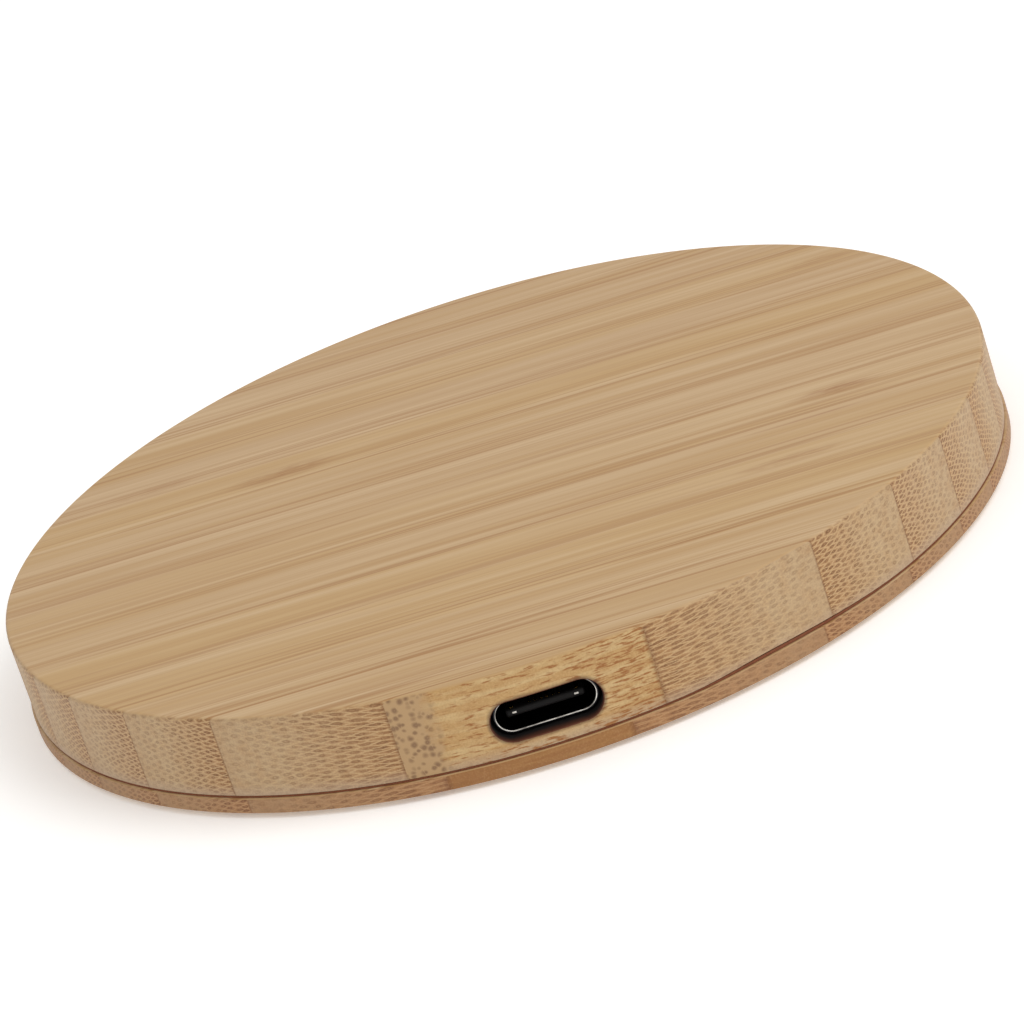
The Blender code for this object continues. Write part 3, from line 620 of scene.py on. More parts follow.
# Body: outline, rounded top edge, glued lower edge
pocket_ceiling = body_high.z - TOP_WALL
mesh = turned([
    (0, body_high.z),
    (PAD_RADIUS, body_high.z),
    (PAD_RADIUS, body_low.z),
    (POCKET_RADIUS, body_low.z),
    (POCKET_RADIUS, pocket_ceiling),
    (0, pocket_ceiling),
])
round_over(mesh, PAD_RADIUS, body_high.z, TOP_EDGE_RADIUS, 6)
round_over(mesh, PAD_RADIUS, body_low.z, LOWER_EDGE_RADIUS, 2)
GLUE_ZONE = 0.3 * MM
for vert in mesh.verts:
    if vert.co.z < body_low.z + GLUE_ZONE and vert.co.xy.length > POCKET_RADIUS + GLUE_ZONE:
        vert.co.z += glued_hump(vert.co.x, vert.co.y, BODY_LIFT)
body = finished("bamboo_body", mesh, [body_bamboo, charred_and_shaded_wall])

# Port hole: a stadium with a slightly rounded lip that follows the rim's curve
LIP = 0.1 * MM
LIP_STEPS = 4
CUT_CLEAR = 1 * MM
CUT_INTO_POCKET = 1.2 * MM
port_core = (PORT_WIDTH - PORT_HEIGHT) / 2


def rim_surface(x):
    """Where the rim's curved face lies, left or right of the inlet."""
    return -math.sqrt(PAD_RADIUS**2 - x**2)


mesh = bmesh.new()
outside = set(stadium_ring(mesh, PORT_WIDTH, PORT_HEIGHT, (0, 0, PORT_Z)))
for vert in outside:
    vert.co.y = rim_surface(vert.co.x) - CUT_CLEAR
ring = next_ring(mesh, outside, port_core, 0, rim_surface)
for step in range(LIP_STEPS):
    before = math.sin(math.pi / 2 * step / LIP_STEPS)
    after = math.sin(math.pi / 2 * (step + 1) / LIP_STEPS)
    drop = LIP * (1 - math.cos(math.pi / 2 * (step + 1) / LIP_STEPS))
    ring = next_ring(mesh, ring, port_core, LIP * (before - after), lambda x: rim_surface(x) + drop)
inside = next_ring(mesh, ring, port_core, 0, lambda x: -POCKET_RADIUS + CUT_INTO_POCKET)
capped(mesh, outside, inside)
bmesh.ops.recalc_face_normals(mesh, faces=mesh.faces)
for face in mesh.faces:
    face.material_index = 1
combine(body, mesh)
body.modifiers.new("even_shading", "WEIGHTED_NORMAL").keep_sharp = True
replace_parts(body, "upper_body")

# --- Base plate --------------------------------------------------------------------------
# A thin disc of the same laminated bamboo, a little wider than the body, cut out by laser, so
# its edge is a warmer caramel. Four shallow round recesses underneath take the feet.

BASE_RADIUS = (base_high.x - base_low.x) / 2
BASE_EDGE_RADIUS = 0.12 * MM
BASE_LIFT = 0.22 * MM
base_bamboo = bamboo(
    "laminated_bamboo_laser_cut",
    first_seam=-44.5,
    colours={
        "rim_dense": linear("#9f6f42"),
        "rim_plain": linear("#a17c56"),
        "rim_pink": linear("#9f7e5e"),
        "rim_foot": linear("#9a7a5c"),
        "rim_outer": linear("#92622f"),
        "rim_outer_light": linear("#9d6f3a"),
        "cap_dense": linear("#6c3d1b"),
        "cap_outer": linear("#99612e"),
        "cap_plain": linear("#75502f"),
        "net": linear("#bd9468"),
        "face_grey": linear("#c1a27c"),
        "face_yellow": linear("#c2a172"),
        "face_light": linear("#caad86"),
        "face_brown": linear("#b8935f"),
        "face_fibre": linear("#b49064"),
        "face_line": linear("#a57a4a"),
        "mark": linear("#9c6c3c"),
        "streak": linear("#98623a"),
    },
    foot=base_low.z / MM - 0.9,
    marks=((0.3, 0.35, 6.0, 1.8, 0.6), (-0.5, -0.3, 6.0, 1.6, 0.55)),
    outer_dashes=0.15,
    streaks=((0.1, -0.4, 9.0, 0.25, 0.6), (-0.2, 0.5, 8.0, 0.22, 0.5)),
)
mesh = turned([
    (0, base_high.z),
    (BASE_RADIUS, base_high.z),
    (BASE_RADIUS, base_low.z),
    (0, base_low.z),
])
round_over(mesh, BASE_RADIUS, base_high.z, BASE_EDGE_RADIUS, 3)
round_over(mesh, BASE_RADIUS, base_low.z, BASE_EDGE_RADIUS, 3)
for vert in mesh.verts:
    if vert.co.z > base_high.z - GLUE_ZONE and vert.co.xy.length > BASE_RADIUS - GLUE_ZONE:
        vert.co.z += glued_hump(vert.co.x, vert.co.y, BASE_LIFT)
base = finished("bamboo_base", mesh, [base_bamboo])

RECESS_DEPTH = 0.7 * MM
RECESS_CLEARANCE = 0.3 * MM
feet = [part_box(f"rubber_foot_{i + 1}") for i in range(4)]
for low, high in feet:
    middle = (low + high) / 2
    recess_radius = (high.x - low.x) / 2 + RECESS_CLEARANCE
    mesh = bmesh.new()
    bmesh.ops.create_cone(mesh, cap_ends=True, segments=96, depth=2 * RECESS_DEPTH,
                          radius1=recess_radius, radius2=recess_radius,
                          matrix=Matrix.Translation((middle.x, middle.y, base_low.z)))
    combine(base, mesh)
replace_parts(base, "base_plate")

# --- Glue tape ---------------------------------------------------------------------------
# A ring of thin double-sided tape between the two discs. Only its edge shows in the joint, so it is
# drawn nearly out to the rim and a trace thicker, to show as one thin dark line: its dark brown is
# painted shade in the joint.


def grained(name, dark, light, grain, bump=0.0, share=(0.0, 1.0), **principled):
    """A material whose colour and relief follow one noise, with its grains per mm along X, Y and Z."""
    made, tree, shader = new_material(name, **principled)
    place = add(tree, "Mapping", add(tree, "TexCoord", out="Object"), named={"Scale": Vector(grain) / MM})
    noise = add(tree, "TexNoise", place, named={"Scale": 1.0, "Detail": 3.0})
    tone = add(tree, "Mix", add(tree, "MapRange", noise, *share), data_type="RGBA",
               named={6: linear(dark), 7: linear(light)}, out=2)
    tree.links.new(tone, shader["Base Color"])
    if bump:
        relief = add(tree, "Bump", named={"Strength": 0.5, "Distance": bump * MM, "Height": noise})
        tree.links.new(relief, shader["Normal"])
    return made


# Acrylic foam tape: a cut edge, matt and a little gritty. Its dark brown is painted shade in the
# joint between the discs.
tape_and_joint_shade = grained("acrylic_foam_tape_and_painted_joint_shade", "#5e2f17", "#8a5030", (3, 3, 3), 0.02, Roughness=0.75, IOR=1.48)
tape_low, tape_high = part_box("base_adhesive_ring")
GLUE_REACH = PAD_RADIUS - 0.05 * MM
GLUE_SWELL = 0.03 * MM
GLUE_INNER = POCKET_RADIUS + 0.5 * MM
UPPER_LIFT = 0.36 * MM
LOWER_LIFT = 0.24 * MM
mesh = turned([
    (GLUE_INNER, tape_high.z + GLUE_SWELL),
    (GLUE_REACH, tape_high.z + GLUE_SWELL),
    (GLUE_REACH, tape_low.z - GLUE_SWELL),
    (GLUE_INNER, tape_low.z - GLUE_SWELL),
])
for vert in mesh.verts:
    if vert.co.xy.length > (GLUE_INNER + GLUE_REACH) / 2:
        upper = vert.co.z > (tape_low.z + tape_high.z) / 2
        vert.co.z += glued_hump(vert.co.x, vert.co.y, UPPER_LIFT if upper else LOWER_LIFT)
glue = finished("glue_tape", mesh, [tape_and_joint_shade])
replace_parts(glue, "base_adhesive_ring")

# --- USB-C inlet -------------------------------------------------------------------------
# A bought-in receptacle: a drawn steel shell plated black, with four legs through the board. The
# inner edge of its mouth is coloured bright steel, which is a painted highlight.

SHELL_WIDTH = 8.94 * MM
SHELL_WALL = 0.3 * MM
LEG_WIDTH = 0.9 * MM
LEG_PROUD = 0.06 * MM
LEGS_FROM_BACK = (2.5 * MM, 0.8 * MM)
MOUTH_ROUND = 0.1 * MM
MOUTH_STEPS = 3

# Black nickel plate over drawn steel: a dark metal shine with faint lines from the drawing.
plated = grained("black_nickel_plated_steel", "#26262a", "#3a393c", (6, 0.4, 6), 0.002,
                 Metallic=1.0, Roughness=0.34)
# Bright bare steel, in patches: on the shell's mouth it is a painted highlight, on the mid plate
# it is the plate's own stainless steel.
bright_steel_and_highlight = grained("bright_steel_and_painted_highlight", "#8a8680", "#e2dfd8", (1.3, 1.3, 1.3), share=(0.35, 0.6),
                 Metallic=1.0, Roughness=0.22)

shell_core = (SHELL_WIDTH - SHELL_HEIGHT) / 2
mesh = bmesh.new()
back_outside = set(stadium_ring(mesh, SHELL_WIDTH, SHELL_HEIGHT, (0, shell_high.y, PORT_Z), cuts=0))
ring = next_ring(mesh, back_outside, shell_core, 0, lambda x: shell_low.y + MOUTH_ROUND)
for first, turn_in in ((0, 0), (1, SHELL_WALL - 2 * MOUTH_ROUND)):
    if turn_in:
        ring = next_ring(mesh, ring, shell_core, -turn_in, lambda x: shell_low.y)
    for step in range(MOUTH_STEPS):
        before, after = (math.pi / 2 * (first + share / MOUTH_STEPS) for share in (step, step + 1))
        inward = MOUTH_ROUND * (math.cos(before) - math.cos(after))
        rise = MOUTH_ROUND * (1 - math.sin(after))
        ring = next_ring(mesh, ring, shell_core, -inward, lambda x: shell_low.y + rise)
next_ring(mesh, ring, shell_core, 0, lambda x: shell_high.y)
seam_edges = [e for e in mesh.edges if e.is_boundary]
bmesh.ops.bridge_loops(mesh, edges=seam_edges)
bmesh.ops.recalc_face_normals(mesh, faces=mesh.faces)
mouth_reach = SHELL_HEIGHT / 2 - SHELL_WALL + MOUTH_ROUND
# The inner edge of the mouth takes the bright steel, which is a painted highlight.
for face in mesh.faces:
    middle = face.calc_center_median()
    beside = max(-shell_core, min(shell_core, middle.x))
    from_core = math.hypot(middle.x - beside, middle.z - PORT_Z)
    face.material_index = int(from_core < mouth_reach and middle.y < shell_low.y + MOUTH_ROUND)
shell = finished("usb_c_shell_plated", mesh, [plated, bright_steel_and_highlight])

mesh = bmesh.new()
for side in (-1, 1):
    for from_back in LEGS_FROM_BACK:
        size = (SHELL_WALL, LEG_WIDTH, PORT_Z - shell_low.z, 1)
        leg_x = side * (SHELL_WIDTH / 2 - SHELL_WALL / 2 + LEG_PROUD)
        middle = (leg_x, shell_high.y - from_back, (PORT_Z + shell_low.z) / 2)
        bmesh.ops.create_cube(mesh, size=1, matrix=Matrix.Translation(middle) @ Matrix.Diagonal(size))
combine(shell, mesh, "UNION")
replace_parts(shell, "usb_c_shell")

# Tongue and block: one glass-filled nylon moulding. The tongue is slotted for a steel plate, open
# at its sides and front corners, and grooved above and below for the contacts.
nylon = grained("black_glass_filled_nylon", "#0d0d0e", "#1d1b1a", (9, 3, 9), 0.004, Roughness=0.55, IOR=1.53,
                Specular_IOR_Level=0.15)


def box_in(mesh, low, high):
    """Adds a box between two corners. Returns its points."""
    middle = (Vector(low) + Vector(high)) / 2
    size = Matrix.Diagonal((*(Vector(high) - Vector(low)), 1))
    return bmesh.ops.create_cube(mesh, size=1, matrix=Matrix.Translation(middle) @ size)["verts"]


def softened(mesh, offset, segments=2):
    """Rounds every edge of a mesh a little."""
    return rounded(mesh, mesh.edges, offset, segments)


TONGUE_HALF_WIDTH = 6.69 * MM / 2
TONGUE_HALF = 0.35 * MM
STEP_HALF = 0.65 * MM
STEP_LENGTH = 1.2 * MM
BLOCK_LENGTH = 1.0 * MM
BLOCK_OVERLAP = 0.4 * MM
tongue_low, tongue_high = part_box("usb_c_insulator")
block_front = tongue_high.y - BLOCK_LENGTH
inset = SHELL_WALL + 0.15 * MM
mesh = bmesh.new()
block_ring = set(stadium_ring(mesh, SHELL_WIDTH - 2 * inset, SHELL_HEIGHT - 2 * inset,
                              (0, block_front, PORT_Z), cuts=0))
block_back = next_ring(mesh, block_ring, shell_core, 0, lambda x: tongue_high.y)
capped(mesh, block_ring, block_back)
bmesh.ops.recalc_face_normals(mesh, faces=mesh.faces)
insulator = finished("usb_c_tongue_and_block", mesh, [nylon])
for half_height, front, edge in (
    (STEP_HALF, block_front - STEP_LENGTH, 0.08 * MM),
    (TONGUE_HALF, tongue_low.y, 0.24 * MM),
):
    mesh = bmesh.new()
    box_in(mesh, (-TONGUE_HALF_WIDTH, front, PORT_Z - half_height),
           (TONGUE_HALF_WIDTH, block_front + BLOCK_OVERLAP, PORT_Z + half_height))
    combine(insulator, softened(mesh, edge, 3), "UNION")

plate_low, plate_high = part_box("usb_c_mid_plate")
CORNER = 0.42 * MM
CLEAR = 0.03 * MM
mesh = bmesh.new()
box_in(mesh, (-2 * TONGUE_HALF_WIDTH, plate_low.y + CORNER, plate_low.z - CLEAR),
       (2 * TONGUE_HALF_WIDTH, plate_high.y + CLEAR, plate_high.z + CLEAR))
combine(insulator, mesh)
EAR_AT = 2.62 * MM
EAR_HALF = 0.17 * MM
for side in (-1, 1):
    mesh = bmesh.new()
    box_in(mesh, (side * EAR_AT - EAR_HALF - CLEAR, tongue_low.y - CORNER, plate_low.z - CLEAR),
           (side * EAR_AT + EAR_HALF + CLEAR, plate_low.y + 2 * CORNER, plate_high.z + CLEAR))
    combine(insulator, mesh)
GROOVE_DEPTH = 0.07 * MM
GROOVE_LEAD = 0.1 * MM
contacts = [name for name in nodes if name.startswith("usb_c_contact_")]
mesh = bmesh.new()
for name in contacts:
    low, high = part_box(name)
    level = PORT_Z + TONGUE_HALF if name.startswith("usb_c_contact_a") else PORT_Z - TONGUE_HALF
    box_in(mesh, (low.x - CLEAR, low.y - GROOVE_LEAD, level - GROOVE_DEPTH),
           (high.x + CLEAR, tongue_high.y + CUT_CLEAR, level + GROOVE_DEPTH))
combine(insulator, mesh)
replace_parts(insulator, "usb_c_insulator")

# Mid plate: stamped stainless steel inside the tongue, bare at its sides and front corners.
mesh = bmesh.new()
box_in(mesh, (-TONGUE_HALF_WIDTH, plate_low.y + CORNER + CLEAR, plate_low.z),
       (TONGUE_HALF_WIDTH, plate_high.y, plate_high.z))
for side in (-1, 1):
    for edge in (-1, 1):
        bmesh.ops.bisect_plane(mesh, geom=[*mesh.verts, *mesh.edges, *mesh.faces],
                               plane_co=(side * EAR_AT + edge * EAR_HALF, 0, 0), plane_no=(1, 0, 0))
corners = [
    face
    for face in mesh.faces
    if face.normal.y < -0.9 and abs(abs(face.calc_center_median().x) - EAR_AT) < EAR_HALF / 2
]
for face in corners:
    grown = bmesh.ops.extrude_discrete_faces(mesh, faces=[face])["faces"][0]
    bmesh.ops.translate(mesh, verts=grown.verts, vec=(0, tongue_low.y - plate_low.y - CORNER, 0))
bmesh.ops.remove_doubles(mesh, verts=mesh.verts, dist=0.0001 * MM)
bmesh.ops.recalc_face_normals(mesh, faces=mesh.faces)
bright_plate = finished("usb_c_mid_plate_stamped", mesh, [bright_steel_and_highlight])
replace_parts(bright_plate, "usb_c_mid_plate")

# Contacts: stamped copper alloy, gold plated, each with a faint rolling grain.
gold = grained("gold_plated_copper_alloy", "#d9a441", "#f0c86c", (12, 0.8, 12), 0.001,
               Metallic=1.0, Roughness=0.25)
for name in contacts:
    nodes[name].data.materials[0] = gold

# --- Circuit board and foam --------------------------------------------------------------
# A two-layer board of glass-epoxy under black solder mask, cut to follow the hollow. It stands on
# a die-cut pad of foam tape that sticks it to the base plate.

TRACE_PITCH = 0.75
TRACE_SHARE = 0.4
# Solder mask over copper: the covered traces show as slightly raised, slightly lighter lines about
# 0.3 mm wide, and the cut edge shows the bare brown board.
solder_mask, tree, shader = new_material("black_solder_mask_on_glass_epoxy", Roughness=0.3, IOR=1.52)
place = add(tree, "Mapping", add(tree, "TexCoord", out="Object"), named=IN_MM)
x, y, _ = add(tree, "SeparateXYZ", place).node.outputs
field = add(tree, "TexVoronoi", place, named={"Scale": 0.16, "Randomness": 0.7}, distance="CHEBYCHEV",
            voronoi_dimensions="2D", out="Color")
runs_along, has_traces, _ = add(tree, "SeparateColor", field).node.outputs
runs_along = add(tree, "Math", runs_along, 0.5, operation="GREATER_THAN")
has_traces = add(tree, "Math", has_traces, 0.35, operation="GREATER_THAN")
across_traces = add(tree, "Mix", runs_along, named={2: x, 3: y})
traces = add(tree, "Math", across_traces, TRACE_PITCH, operation="DIVIDE")
traces = add(tree, "Math", traces, operation="FRACT")
traces = add(tree, "Math", traces, TRACE_SHARE, operation="LESS_THAN")
traces = add(tree, "Math", traces, has_traces, operation="MULTIPLY")
tone = add(tree, "Mix", traces, data_type="RGBA", named={6: linear("#131614"), 7: linear("#232a26")}, out=2)
facing = add(tree, "SeparateXYZ", add(tree, "TexCoord", out="Normal"), out=2)
facing = add(tree, "Math", facing, operation="ABSOLUTE")
tone = add(tree, "Mix", add(tree, "MapRange", facing, 0.3, 0.6), data_type="RGBA",
           named={6: linear("#6b5a34"), 7: tone}, out=2)
tree.links.new(tone, shader["Base Color"])
tree.links.new(add(tree, "Bump", named={"Strength": 0.5, "Distance": 0.035 * MM, "Height": traces}),
               shader["Normal"])
nodes["circuit_board"].data.materials[0] = solder_mask

# Closed-cell polyethylene foam: dark grey and matt, with cells about 0.3 mm across.
foam = grained("closed_cell_foam", "#202020", "#3a3a3a", (3.5, 3.5, 3.5), 0.12, share=(0.3, 0.7),
               Roughness=0.95, IOR=1.4)
FOAM_CORNER = 1.5 * MM
FOAM_EDGE = 0.06 * MM
foam_low, foam_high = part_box("board_foam_pad")


def upright(mesh):
    """The upright edges of a mesh."""
    return [e for e in mesh.edges if (e.verts[0].co - e.verts[1].co).xy.length < CLOSE]


mesh = bmesh.new()
box_in(mesh, foam_low, foam_high)
rounded(mesh, upright(mesh), FOAM_CORNER, 6)
rims = [e for e in mesh.edges if abs(e.verts[0].co.z - e.verts[1].co.z) < CLOSE]
rounded(mesh, rims, FOAM_EDGE, 2)
foam_pad = finished("foam_pad_die_cut", mesh, [foam])
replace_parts(foam_pad, "board_foam_pad")

# --- Moulded parts on the board ----------------------------------------------------------
# Controller, half bridges, regulator and surge diode: silicon moulded in black epoxy, each with a
# round pin-one dimple and tinned leads or pads soldered to the board.

# Filled epoxy, moulded in a spark-eroded tool: matt dark grey with a fine even grain.
epoxy = grained("moulded_filled_epoxy", "#17171a", "#252528", (12, 12, 12), 0.01, Roughness=0.6, IOR=1.55)
# Tin plate that has been through the oven: bright, soft-edged patches.
tinned = grained("tin_plated_copper", "#a9a7a1", "#d6d4cd", (5, 5, 5), 0.006, Metallic=1.0, Roughness=0.3)

MOULD_DRAFT = 0.06 * MM
MOULD_EDGE = 0.05 * MM
METAL_EDGE = 0.015 * MM
DIMPLE_DEPTH = 0.05 * MM
# The dimple's place and radii, as shares of a block's shorter side
DIMPLE_AT = 0.2
DIMPLE_FLOOR = 0.06
DIMPLE_MOUTH = 0.08


def moulded_block(name, low, high, leads):
    """A block with drafted sides, rounded edges, a dimple, and tinned leads as boxes of two corners."""
    mesh = bmesh.new()
    corners = box_in(mesh, low, high)
    middle = (Vector(low) + Vector(high)) / 2
    for vert in corners:
        if vert.co.z > middle.z:
            vert.co.xy -= Vector((math.copysign(MOULD_DRAFT, vert.co.x - middle.x),
                                  math.copysign(MOULD_DRAFT, vert.co.y - middle.y)))
    piece = finished(name, softened(mesh, MOULD_EDGE), [epoxy, tinned])
    dimple = bmesh.new()
    span = min(high[0] - low[0], high[1] - low[1])
    dimple_place = (low[0] + span * DIMPLE_AT, low[1] + span * DIMPLE_AT, high[2])
    bmesh.ops.create_cone(dimple, cap_ends=True, segments=32, radius1=span * DIMPLE_FLOOR,
                          radius2=span * DIMPLE_MOUTH, depth=2 * DIMPLE_DEPTH,
                          matrix=Matrix.Translation(dimple_place))
    combine(piece, dimple)
    metal = bmesh.new()
    for lead_low, lead_high in leads:
        box_in(metal, lead_low, lead_high)
    for face in metal.faces:
        face.material_index = 1
    softened(metal, METAL_EDGE, 1)
    combine(piece, metal, "UNION")
    return piece


PAD_LENGTH = 0.3 * MM
PAD_PROUD = 0.02 * MM
PAD_HEIGHT = 0.2 * MM


def pads_round(low, high, pitch, per_side, both_ways):
    """Flat solder pads just proud of a leadless block's foot, along two or all four sides."""
    middle = (low + high) / 2
    half = (high - low) / 2
    boxes = []
    for step in range(per_side):
        along = (step - (per_side - 1) / 2) * pitch
        for side in (-1, 1):
            ends = sorted((side * (half.y - PAD_LENGTH), side * (half.y + PAD_PROUD)))
            boxes.append(((middle.x + along - pitch / 4, middle.y + ends[0], low.z),
                          (middle.x + along + pitch / 4, middle.y + ends[1], low.z + PAD_HEIGHT)))
            if both_ways:
                boxes.append(((middle.x + ends[0], middle.y + along - pitch / 4, low.z),
                              (middle.x + ends[1], middle.y + along + pitch / 4, low.z + PAD_HEIGHT)))
    return boxes


for node, pitch, per_side, both_ways in (
    ("controller_ic", 0.5 * MM, 8, True),
    ("bridge_mosfet_1", 0.65 * MM, 4, False),
    ("bridge_mosfet_2", 0.65 * MM, 4, False),
):
    low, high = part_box(node)
    pads = pads_round(low, high, pitch, per_side, both_ways)
    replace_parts(moulded_block(node + "_moulded", low, high, pads), node)

# Regulator: six short bent leads. Each runs out from its root in the block, down, and out again.
GULL_METAL = 0.13 * MM
GULL_RISE = 0.5 * MM
GULL_PITCH = 0.95 * MM
GULL_HALF_WIDTH = 0.2 * MM
GULL_TIP = 0.4 * MM
GULL_KNEE = 0.18 * MM
GULL_ROOT = -0.1 * MM
BLOCK_INSET = 0.4 * MM
BLOCK_STANDOFF = 0.1 * MM
low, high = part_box("regulator_ic")
leads = []
for side, edge_y in ((-1, low.y + BLOCK_INSET), (1, high.y - BLOCK_INSET)):
    for column in (-1, 0, 1):
        x = (low.x + high.x) / 2 + column * GULL_PITCH
        tip_y, knee_y, root_y = (edge_y + side * step for step in (GULL_TIP, GULL_KNEE, GULL_ROOT))
        for first, last, bottom, top in (
            (tip_y, knee_y, 0, GULL_METAL),
            (knee_y, knee_y - side * GULL_METAL, 0, GULL_RISE),
            (knee_y, root_y, GULL_RISE - GULL_METAL, GULL_RISE),
        ):
            leads.append(((x - GULL_HALF_WIDTH, min(first, last), low.z + bottom),
                          (x + GULL_HALF_WIDTH, max(first, last), low.z + top)))
regulator = moulded_block(
    "regulator_ic_moulded",
    (low.x, low.y + BLOCK_INSET, low.z + BLOCK_STANDOFF),
    (high.x, high.y - BLOCK_INSET, high.z),
    leads,
)
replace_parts(regulator, "regulator_ic")

# Surge diode: two straps, each up an end of the block and folded under it.
STRAP_HALF_WIDTH = 0.75 * MM
STRAP_FOOT = 1.2 * MM
STRAP_SIDE = 0.55 * MM
STRAP_METAL = 0.2 * MM
STRAP_RISE = 0.5 * MM
END_INSET = 0.45 * MM
END_STANDOFF = 0.08 * MM
low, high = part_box("surge_diode")
middle_y = (low.y + high.y) / 2
leads = []
for side, end_x in ((-1, low.x), (1, high.x)):
    for reach, rise in ((STRAP_FOOT, STRAP_METAL), (STRAP_SIDE, STRAP_RISE)):
        inner_x = end_x - side * reach
        leads.append(((min(end_x, inner_x), middle_y - STRAP_HALF_WIDTH, low.z),
                      (max(end_x, inner_x), middle_y + STRAP_HALF_WIDTH, low.z + rise)))
surge = moulded_block(
    "surge_diode_moulded",
    (low.x + END_INSET, low.y, low.z + END_STANDOFF),
    (high.x - END_INSET, high.y, high.z),
    leads,
)
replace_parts(surge, "surge_diode")

# --- Chip parts and inductor -------------------------------------------------------------
# Capacitors, resistors and the fuse: small fired blocks with dipped and plated end caps, a little
# proud of the block. The inductor is iron powder pressed round its coil.

# Fired barium titanate: tan-brown and satin, with a trace of its tape layers.
ceramic = grained("fired_capacitor_ceramic", "#86603c", "#9c7550", (0.8, 0.8, 14), 0.004,
                  Roughness=0.45, IOR=2.0)
# Black glass glaze over alumina: smooth, with a slight orange peel.
glaze = grained("black_resistor_glaze", "#101012", "#1c1c1f", (4, 4, 4), 0.01, Roughness=0.22, IOR=1.52)

CAP_SHARE = 0.18
CAP_PROUD = 0.04 * MM
chips = {
    "capacitor_ceramic": (ceramic, [f"resonant_capacitor_{i}" for i in (1, 2, 3, 4)]
                          + [f"input_capacitor_{i}" for i in (1, 2)]
                          + [f"decoupling_capacitor_{i}" for i in (1, 2, 3, 4)] + ["input_fuse"]),
    "epoxy_moulding": (glaze, ["cc_resistor_1", "cc_resistor_2", "current_sense_resistor"]),
}
for slot, (skin, names) in chips.items():
    for node in names:
        low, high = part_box(node)
        middle = (low + high) / 2
        cap_at = (high.x - low.x) * (0.5 - CAP_SHARE)
        mesh = bmesh.new()
        box_in(mesh, low, high)
        for side in (-1, 1):
            for reach in (cap_at, cap_at - CAP_PROUD):
                bmesh.ops.bisect_plane(mesh, geom=[*mesh.verts, *mesh.edges, *mesh.faces],
                                       plane_co=(middle.x + side * reach, 0, 0), plane_no=(1, 0, 0))
        for vert in mesh.verts:
            if abs(vert.co.x - middle.x) < cap_at - CAP_PROUD / 2:
                vert.co.y -= math.copysign(CAP_PROUD, vert.co.y - middle.y)
                vert.co.z -= math.copysign(CAP_PROUD, vert.co.z - middle.z)
        for face in mesh.faces:
            face.material_index = int(abs(face.calc_center_median().x - middle.x) > cap_at - CAP_PROUD / 4)
        bmesh.ops.recalc_face_normals(mesh, faces=mesh.faces)
        chip = finished(node + "_fired", softened(mesh, METAL_EDGE), [skin, tinned])
        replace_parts(chip, node)

# Pressed iron powder with a binder: mid grey and coarse, with fine dark pores.
iron_powder = grained("pressed_iron_powder", "#3c3d41", "#57585c", (8, 8, 8), 0.02, share=(0.3, 0.6),
                      Roughness=0.65, IOR=1.6)
PRESSED_CORNER = 0.6 * MM
PRESSED_TOP = 0.25 * MM
TERMINAL_LENGTH = 1.1 * MM
TERMINAL_HALF_WIDTH = 1.25 * MM
TERMINAL_RISE = 0.5 * MM
TERMINAL_PROUD = 0.02 * MM
TERMINAL_EDGE = 0.03 * MM
low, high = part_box("power_inductor")
mesh = bmesh.new()
box_in(mesh, low, high)
rounded(mesh, upright(mesh), PRESSED_CORNER, 4)
top_rim = [e for e in mesh.edges if min(v.co.z for v in e.verts) > high.z - CLOSE]
rounded(mesh, top_rim, PRESSED_TOP, 3)
inductor = finished("power_inductor_pressed", mesh, [iron_powder, tinned])
mesh = bmesh.new()
middle_y = (low.y + high.y) / 2
for first, last in (
    (low.x - TERMINAL_PROUD, low.x + TERMINAL_LENGTH),
    (high.x - TERMINAL_LENGTH, high.x + TERMINAL_PROUD),
):
    box_in(mesh, (first, middle_y - TERMINAL_HALF_WIDTH, low.z - TERMINAL_PROUD),
           (last, middle_y + TERMINAL_HALF_WIDTH, low.z + TERMINAL_RISE))
for face in mesh.faces:
    face.material_index = 1
combine(inductor, softened(mesh, TERMINAL_EDGE, 1), "UNION")
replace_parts(inductor, "power_inductor")

# --- Coil, ferrite and thermistor --------------------------------------------------------
# Ten turns of litz wire in a flat spiral, stuck by a film under the ceiling of the hollow. A sheet
# of ferrite below shields the board, and a bead at the coil's eye feels its heat.

# Enamelled copper strands, twisted about once in 6 mm. The pattern follows the spiral: each strand
# shows as a slanting ridge about 0.2 mm wide, which is coarser than the real strands, so that it
# shows. Its sizes here are in millimetres.
COIL_START = 10.8
COIL_START_X = -1.6
TURN_PITCH = 1.12
WIRE_RADIUS = 0.5
WIRE_GAP = 0.05
STRANDS = 14
LAY = 6.0
film_low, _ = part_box("coil_adhesive_film")
coil_axis = film_low.z / MM - WIRE_GAP - WIRE_RADIUS
litz, tree, shader = new_material("enamelled_copper_litz", Roughness=0.35, Metallic=0.7)
place = add(tree, "Mapping", add(tree, "TexCoord", out="Object"), named=IN_MM)
x, y, z = add(tree, "SeparateXYZ", place).node.outputs
turn = add(tree, "Math", y, x, operation="ARCTAN2")
flat_place = add(tree, "CombineXYZ", x, y)
radius = add(tree, "VectorMath", flat_place, operation="LENGTH", out="Value")
start_turn = math.atan2(-COIL_START, COIL_START_X) / math.tau
turns = add(tree, "Math", add(tree, "Math", radius, COIL_START, operation="SUBTRACT"), TURN_PITCH,
            operation="DIVIDE")
turns = add(tree, "Math", add(tree, "Math", turn, -1 / math.tau, turns, operation="MULTIPLY_ADD"),
            start_turn + 0.5, operation="ADD")
sideways = add(tree, "Math", add(tree, "Math", turns, operation="FRACT"), 0.5, operation="SUBTRACT")
sideways = add(tree, "Math", sideways, TURN_PITCH, operation="MULTIPLY")
upward = add(tree, "Math", z, coil_axis, operation="SUBTRACT")
round_wire = add(tree, "Math", upward, sideways, operation="ARCTAN2")
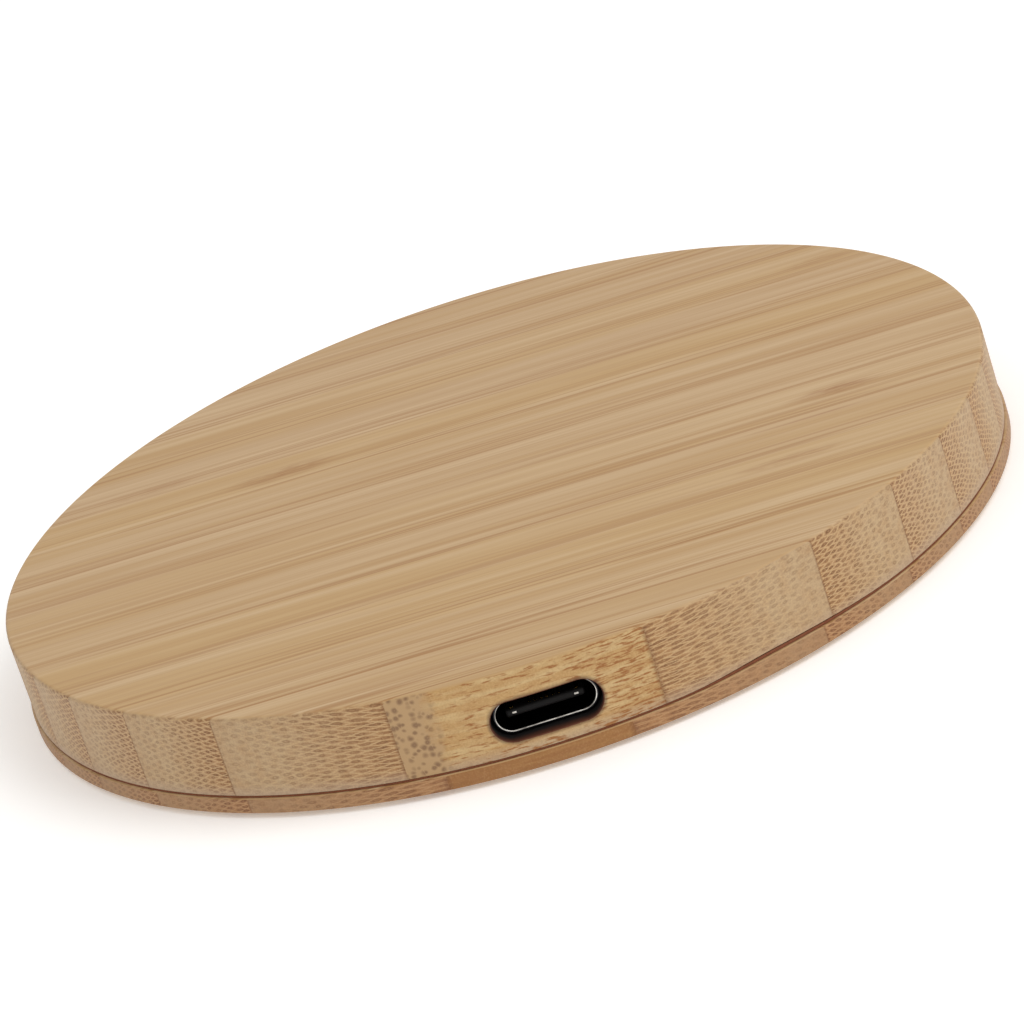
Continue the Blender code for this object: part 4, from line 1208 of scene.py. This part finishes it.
travelled = add(tree, "Math", turn, radius, operation="MULTIPLY")
twist = add(tree, "Math", add(tree, "Math", travelled, math.tau / LAY, operation="MULTIPLY"), round_wire,
            operation="ADD")
strand = add(tree, "Math", add(tree, "Math", twist, STRANDS, operation="MULTIPLY"), operation="SINE")
tone = add(tree, "Mix", add(tree, "MapRange", strand, -0.9, 0.3), data_type="RGBA",
           named={6: linear("#5a2a12"), 7: linear("#b8683a")}, out=2)
tree.links.new(tone, shader["Base Color"])
tree.links.new(add(tree, "Bump", named={"Strength": 0.6, "Distance": 0.03 * MM, "Height": strand}),
               shader["Normal"])
nodes["transmitter_coil"].data.materials[0] = litz

# Transfer adhesive on a polyester film: pale yellow and slightly wavy.
film = grained("adhesive_polyester_film", "#cdbf95", "#ded4b2", (0.4, 0.4, 0.4), 0.05,
               Roughness=0.3, IOR=1.47)
nodes["coil_adhesive_film"].data.materials[0] = film
# Sintered ferrite sheet: near-black grey with a fine sparkle.
ferrite = grained("sintered_ferrite", "#232326", "#3d3d42", (7, 7, 7), 0.01, share=(0.35, 0.7),
                  Roughness=0.42, IOR=2.1)
nodes["ferrite_sheet"].data.materials[0] = ferrite

# Thermistor: an amber-black epoxy bead on two tinned leads, told apart by distance from its middle.
_, bead_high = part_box("thermistor")
BEAD_RADIUS = 0.75
bead, tree, shader = new_material("epoxy_bead_on_tinned_leads", Roughness=0.25, IOR=1.55)
place = add(tree, "Mapping", add(tree, "TexCoord", out="Object"), named=IN_MM)
step = add(tree, "VectorMath", place, (0, 0, bead_high.z / MM - BEAD_RADIUS), operation="SUBTRACT")
away = add(tree, "VectorMath", step, operation="LENGTH", out="Value")
on_lead = add(tree, "MapRange", away, BEAD_RADIUS + 0.03, BEAD_RADIUS + 0.08)
swirl = add(tree, "TexNoise", place, named={"Scale": 2.5, "Detail": 2.0})
tone = add(tree, "Mix", swirl, data_type="RGBA", named={6: linear("#1d120b"), 7: linear("#3a2417")}, out=2)
tone = add(tree, "Mix", on_lead, data_type="RGBA", named={6: tone, 7: linear("#b9b7b0")}, out=2)
tree.links.new(tone, shader["Base Color"])
tree.links.new(on_lead, shader["Metallic"])
nodes["thermistor"].data.materials[0] = bead

# --- Rubber feet -------------------------------------------------------------------------
# Four moulded silicone discs, stuck in the recesses of the base plate. Each has a rounded rim and
# a shallow dish underneath, so that it grips by its outer ring.

# Moulded silicone rubber: charcoal and matt, with a fine dusty grain.
silicone = grained("moulded_silicone_rubber", "#262626", "#363534", (6, 6, 6), 0.015, Roughness=0.8, IOR=1.43)
FOOT_EDGE = 0.2 * MM
DISH_RADIUS = 3.4 * MM
DISH_DEPTH = 0.15 * MM
for number, (low, high) in enumerate(feet, start=1):
    middle = (low + high) / 2
    foot_radius = (high.x - low.x) / 2
    mesh = turned([
        (0, high.z),
        (foot_radius, high.z),
        (foot_radius, low.z),
        (DISH_RADIUS, low.z),
        (DISH_RADIUS - DISH_DEPTH, low.z + DISH_DEPTH),
        (0, low.z + DISH_DEPTH),
    ], centre=(middle.x, middle.y), steps=96)
    bmesh.ops.translate(mesh, verts=mesh.verts, vec=(-middle.x, -middle.y, 0))
    round_over(mesh, foot_radius, low.z, FOOT_EDGE, 4)
    round_over(mesh, foot_radius, high.z, FOOT_EDGE / 2, 2)
    round_over(mesh, DISH_RADIUS, low.z, FOOT_EDGE / 2, 2)
    bmesh.ops.translate(mesh, verts=mesh.verts, vec=(middle.x, middle.y, 0))
    foot = finished(f"rubber_foot_moulded_{number}", mesh, [silicone])
    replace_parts(foot, f"rubber_foot_{number}")

# --- Finish ------------------------------------------------------------------------------
# The finished model's box is found, as the imported model's box was at the start.

low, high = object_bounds()
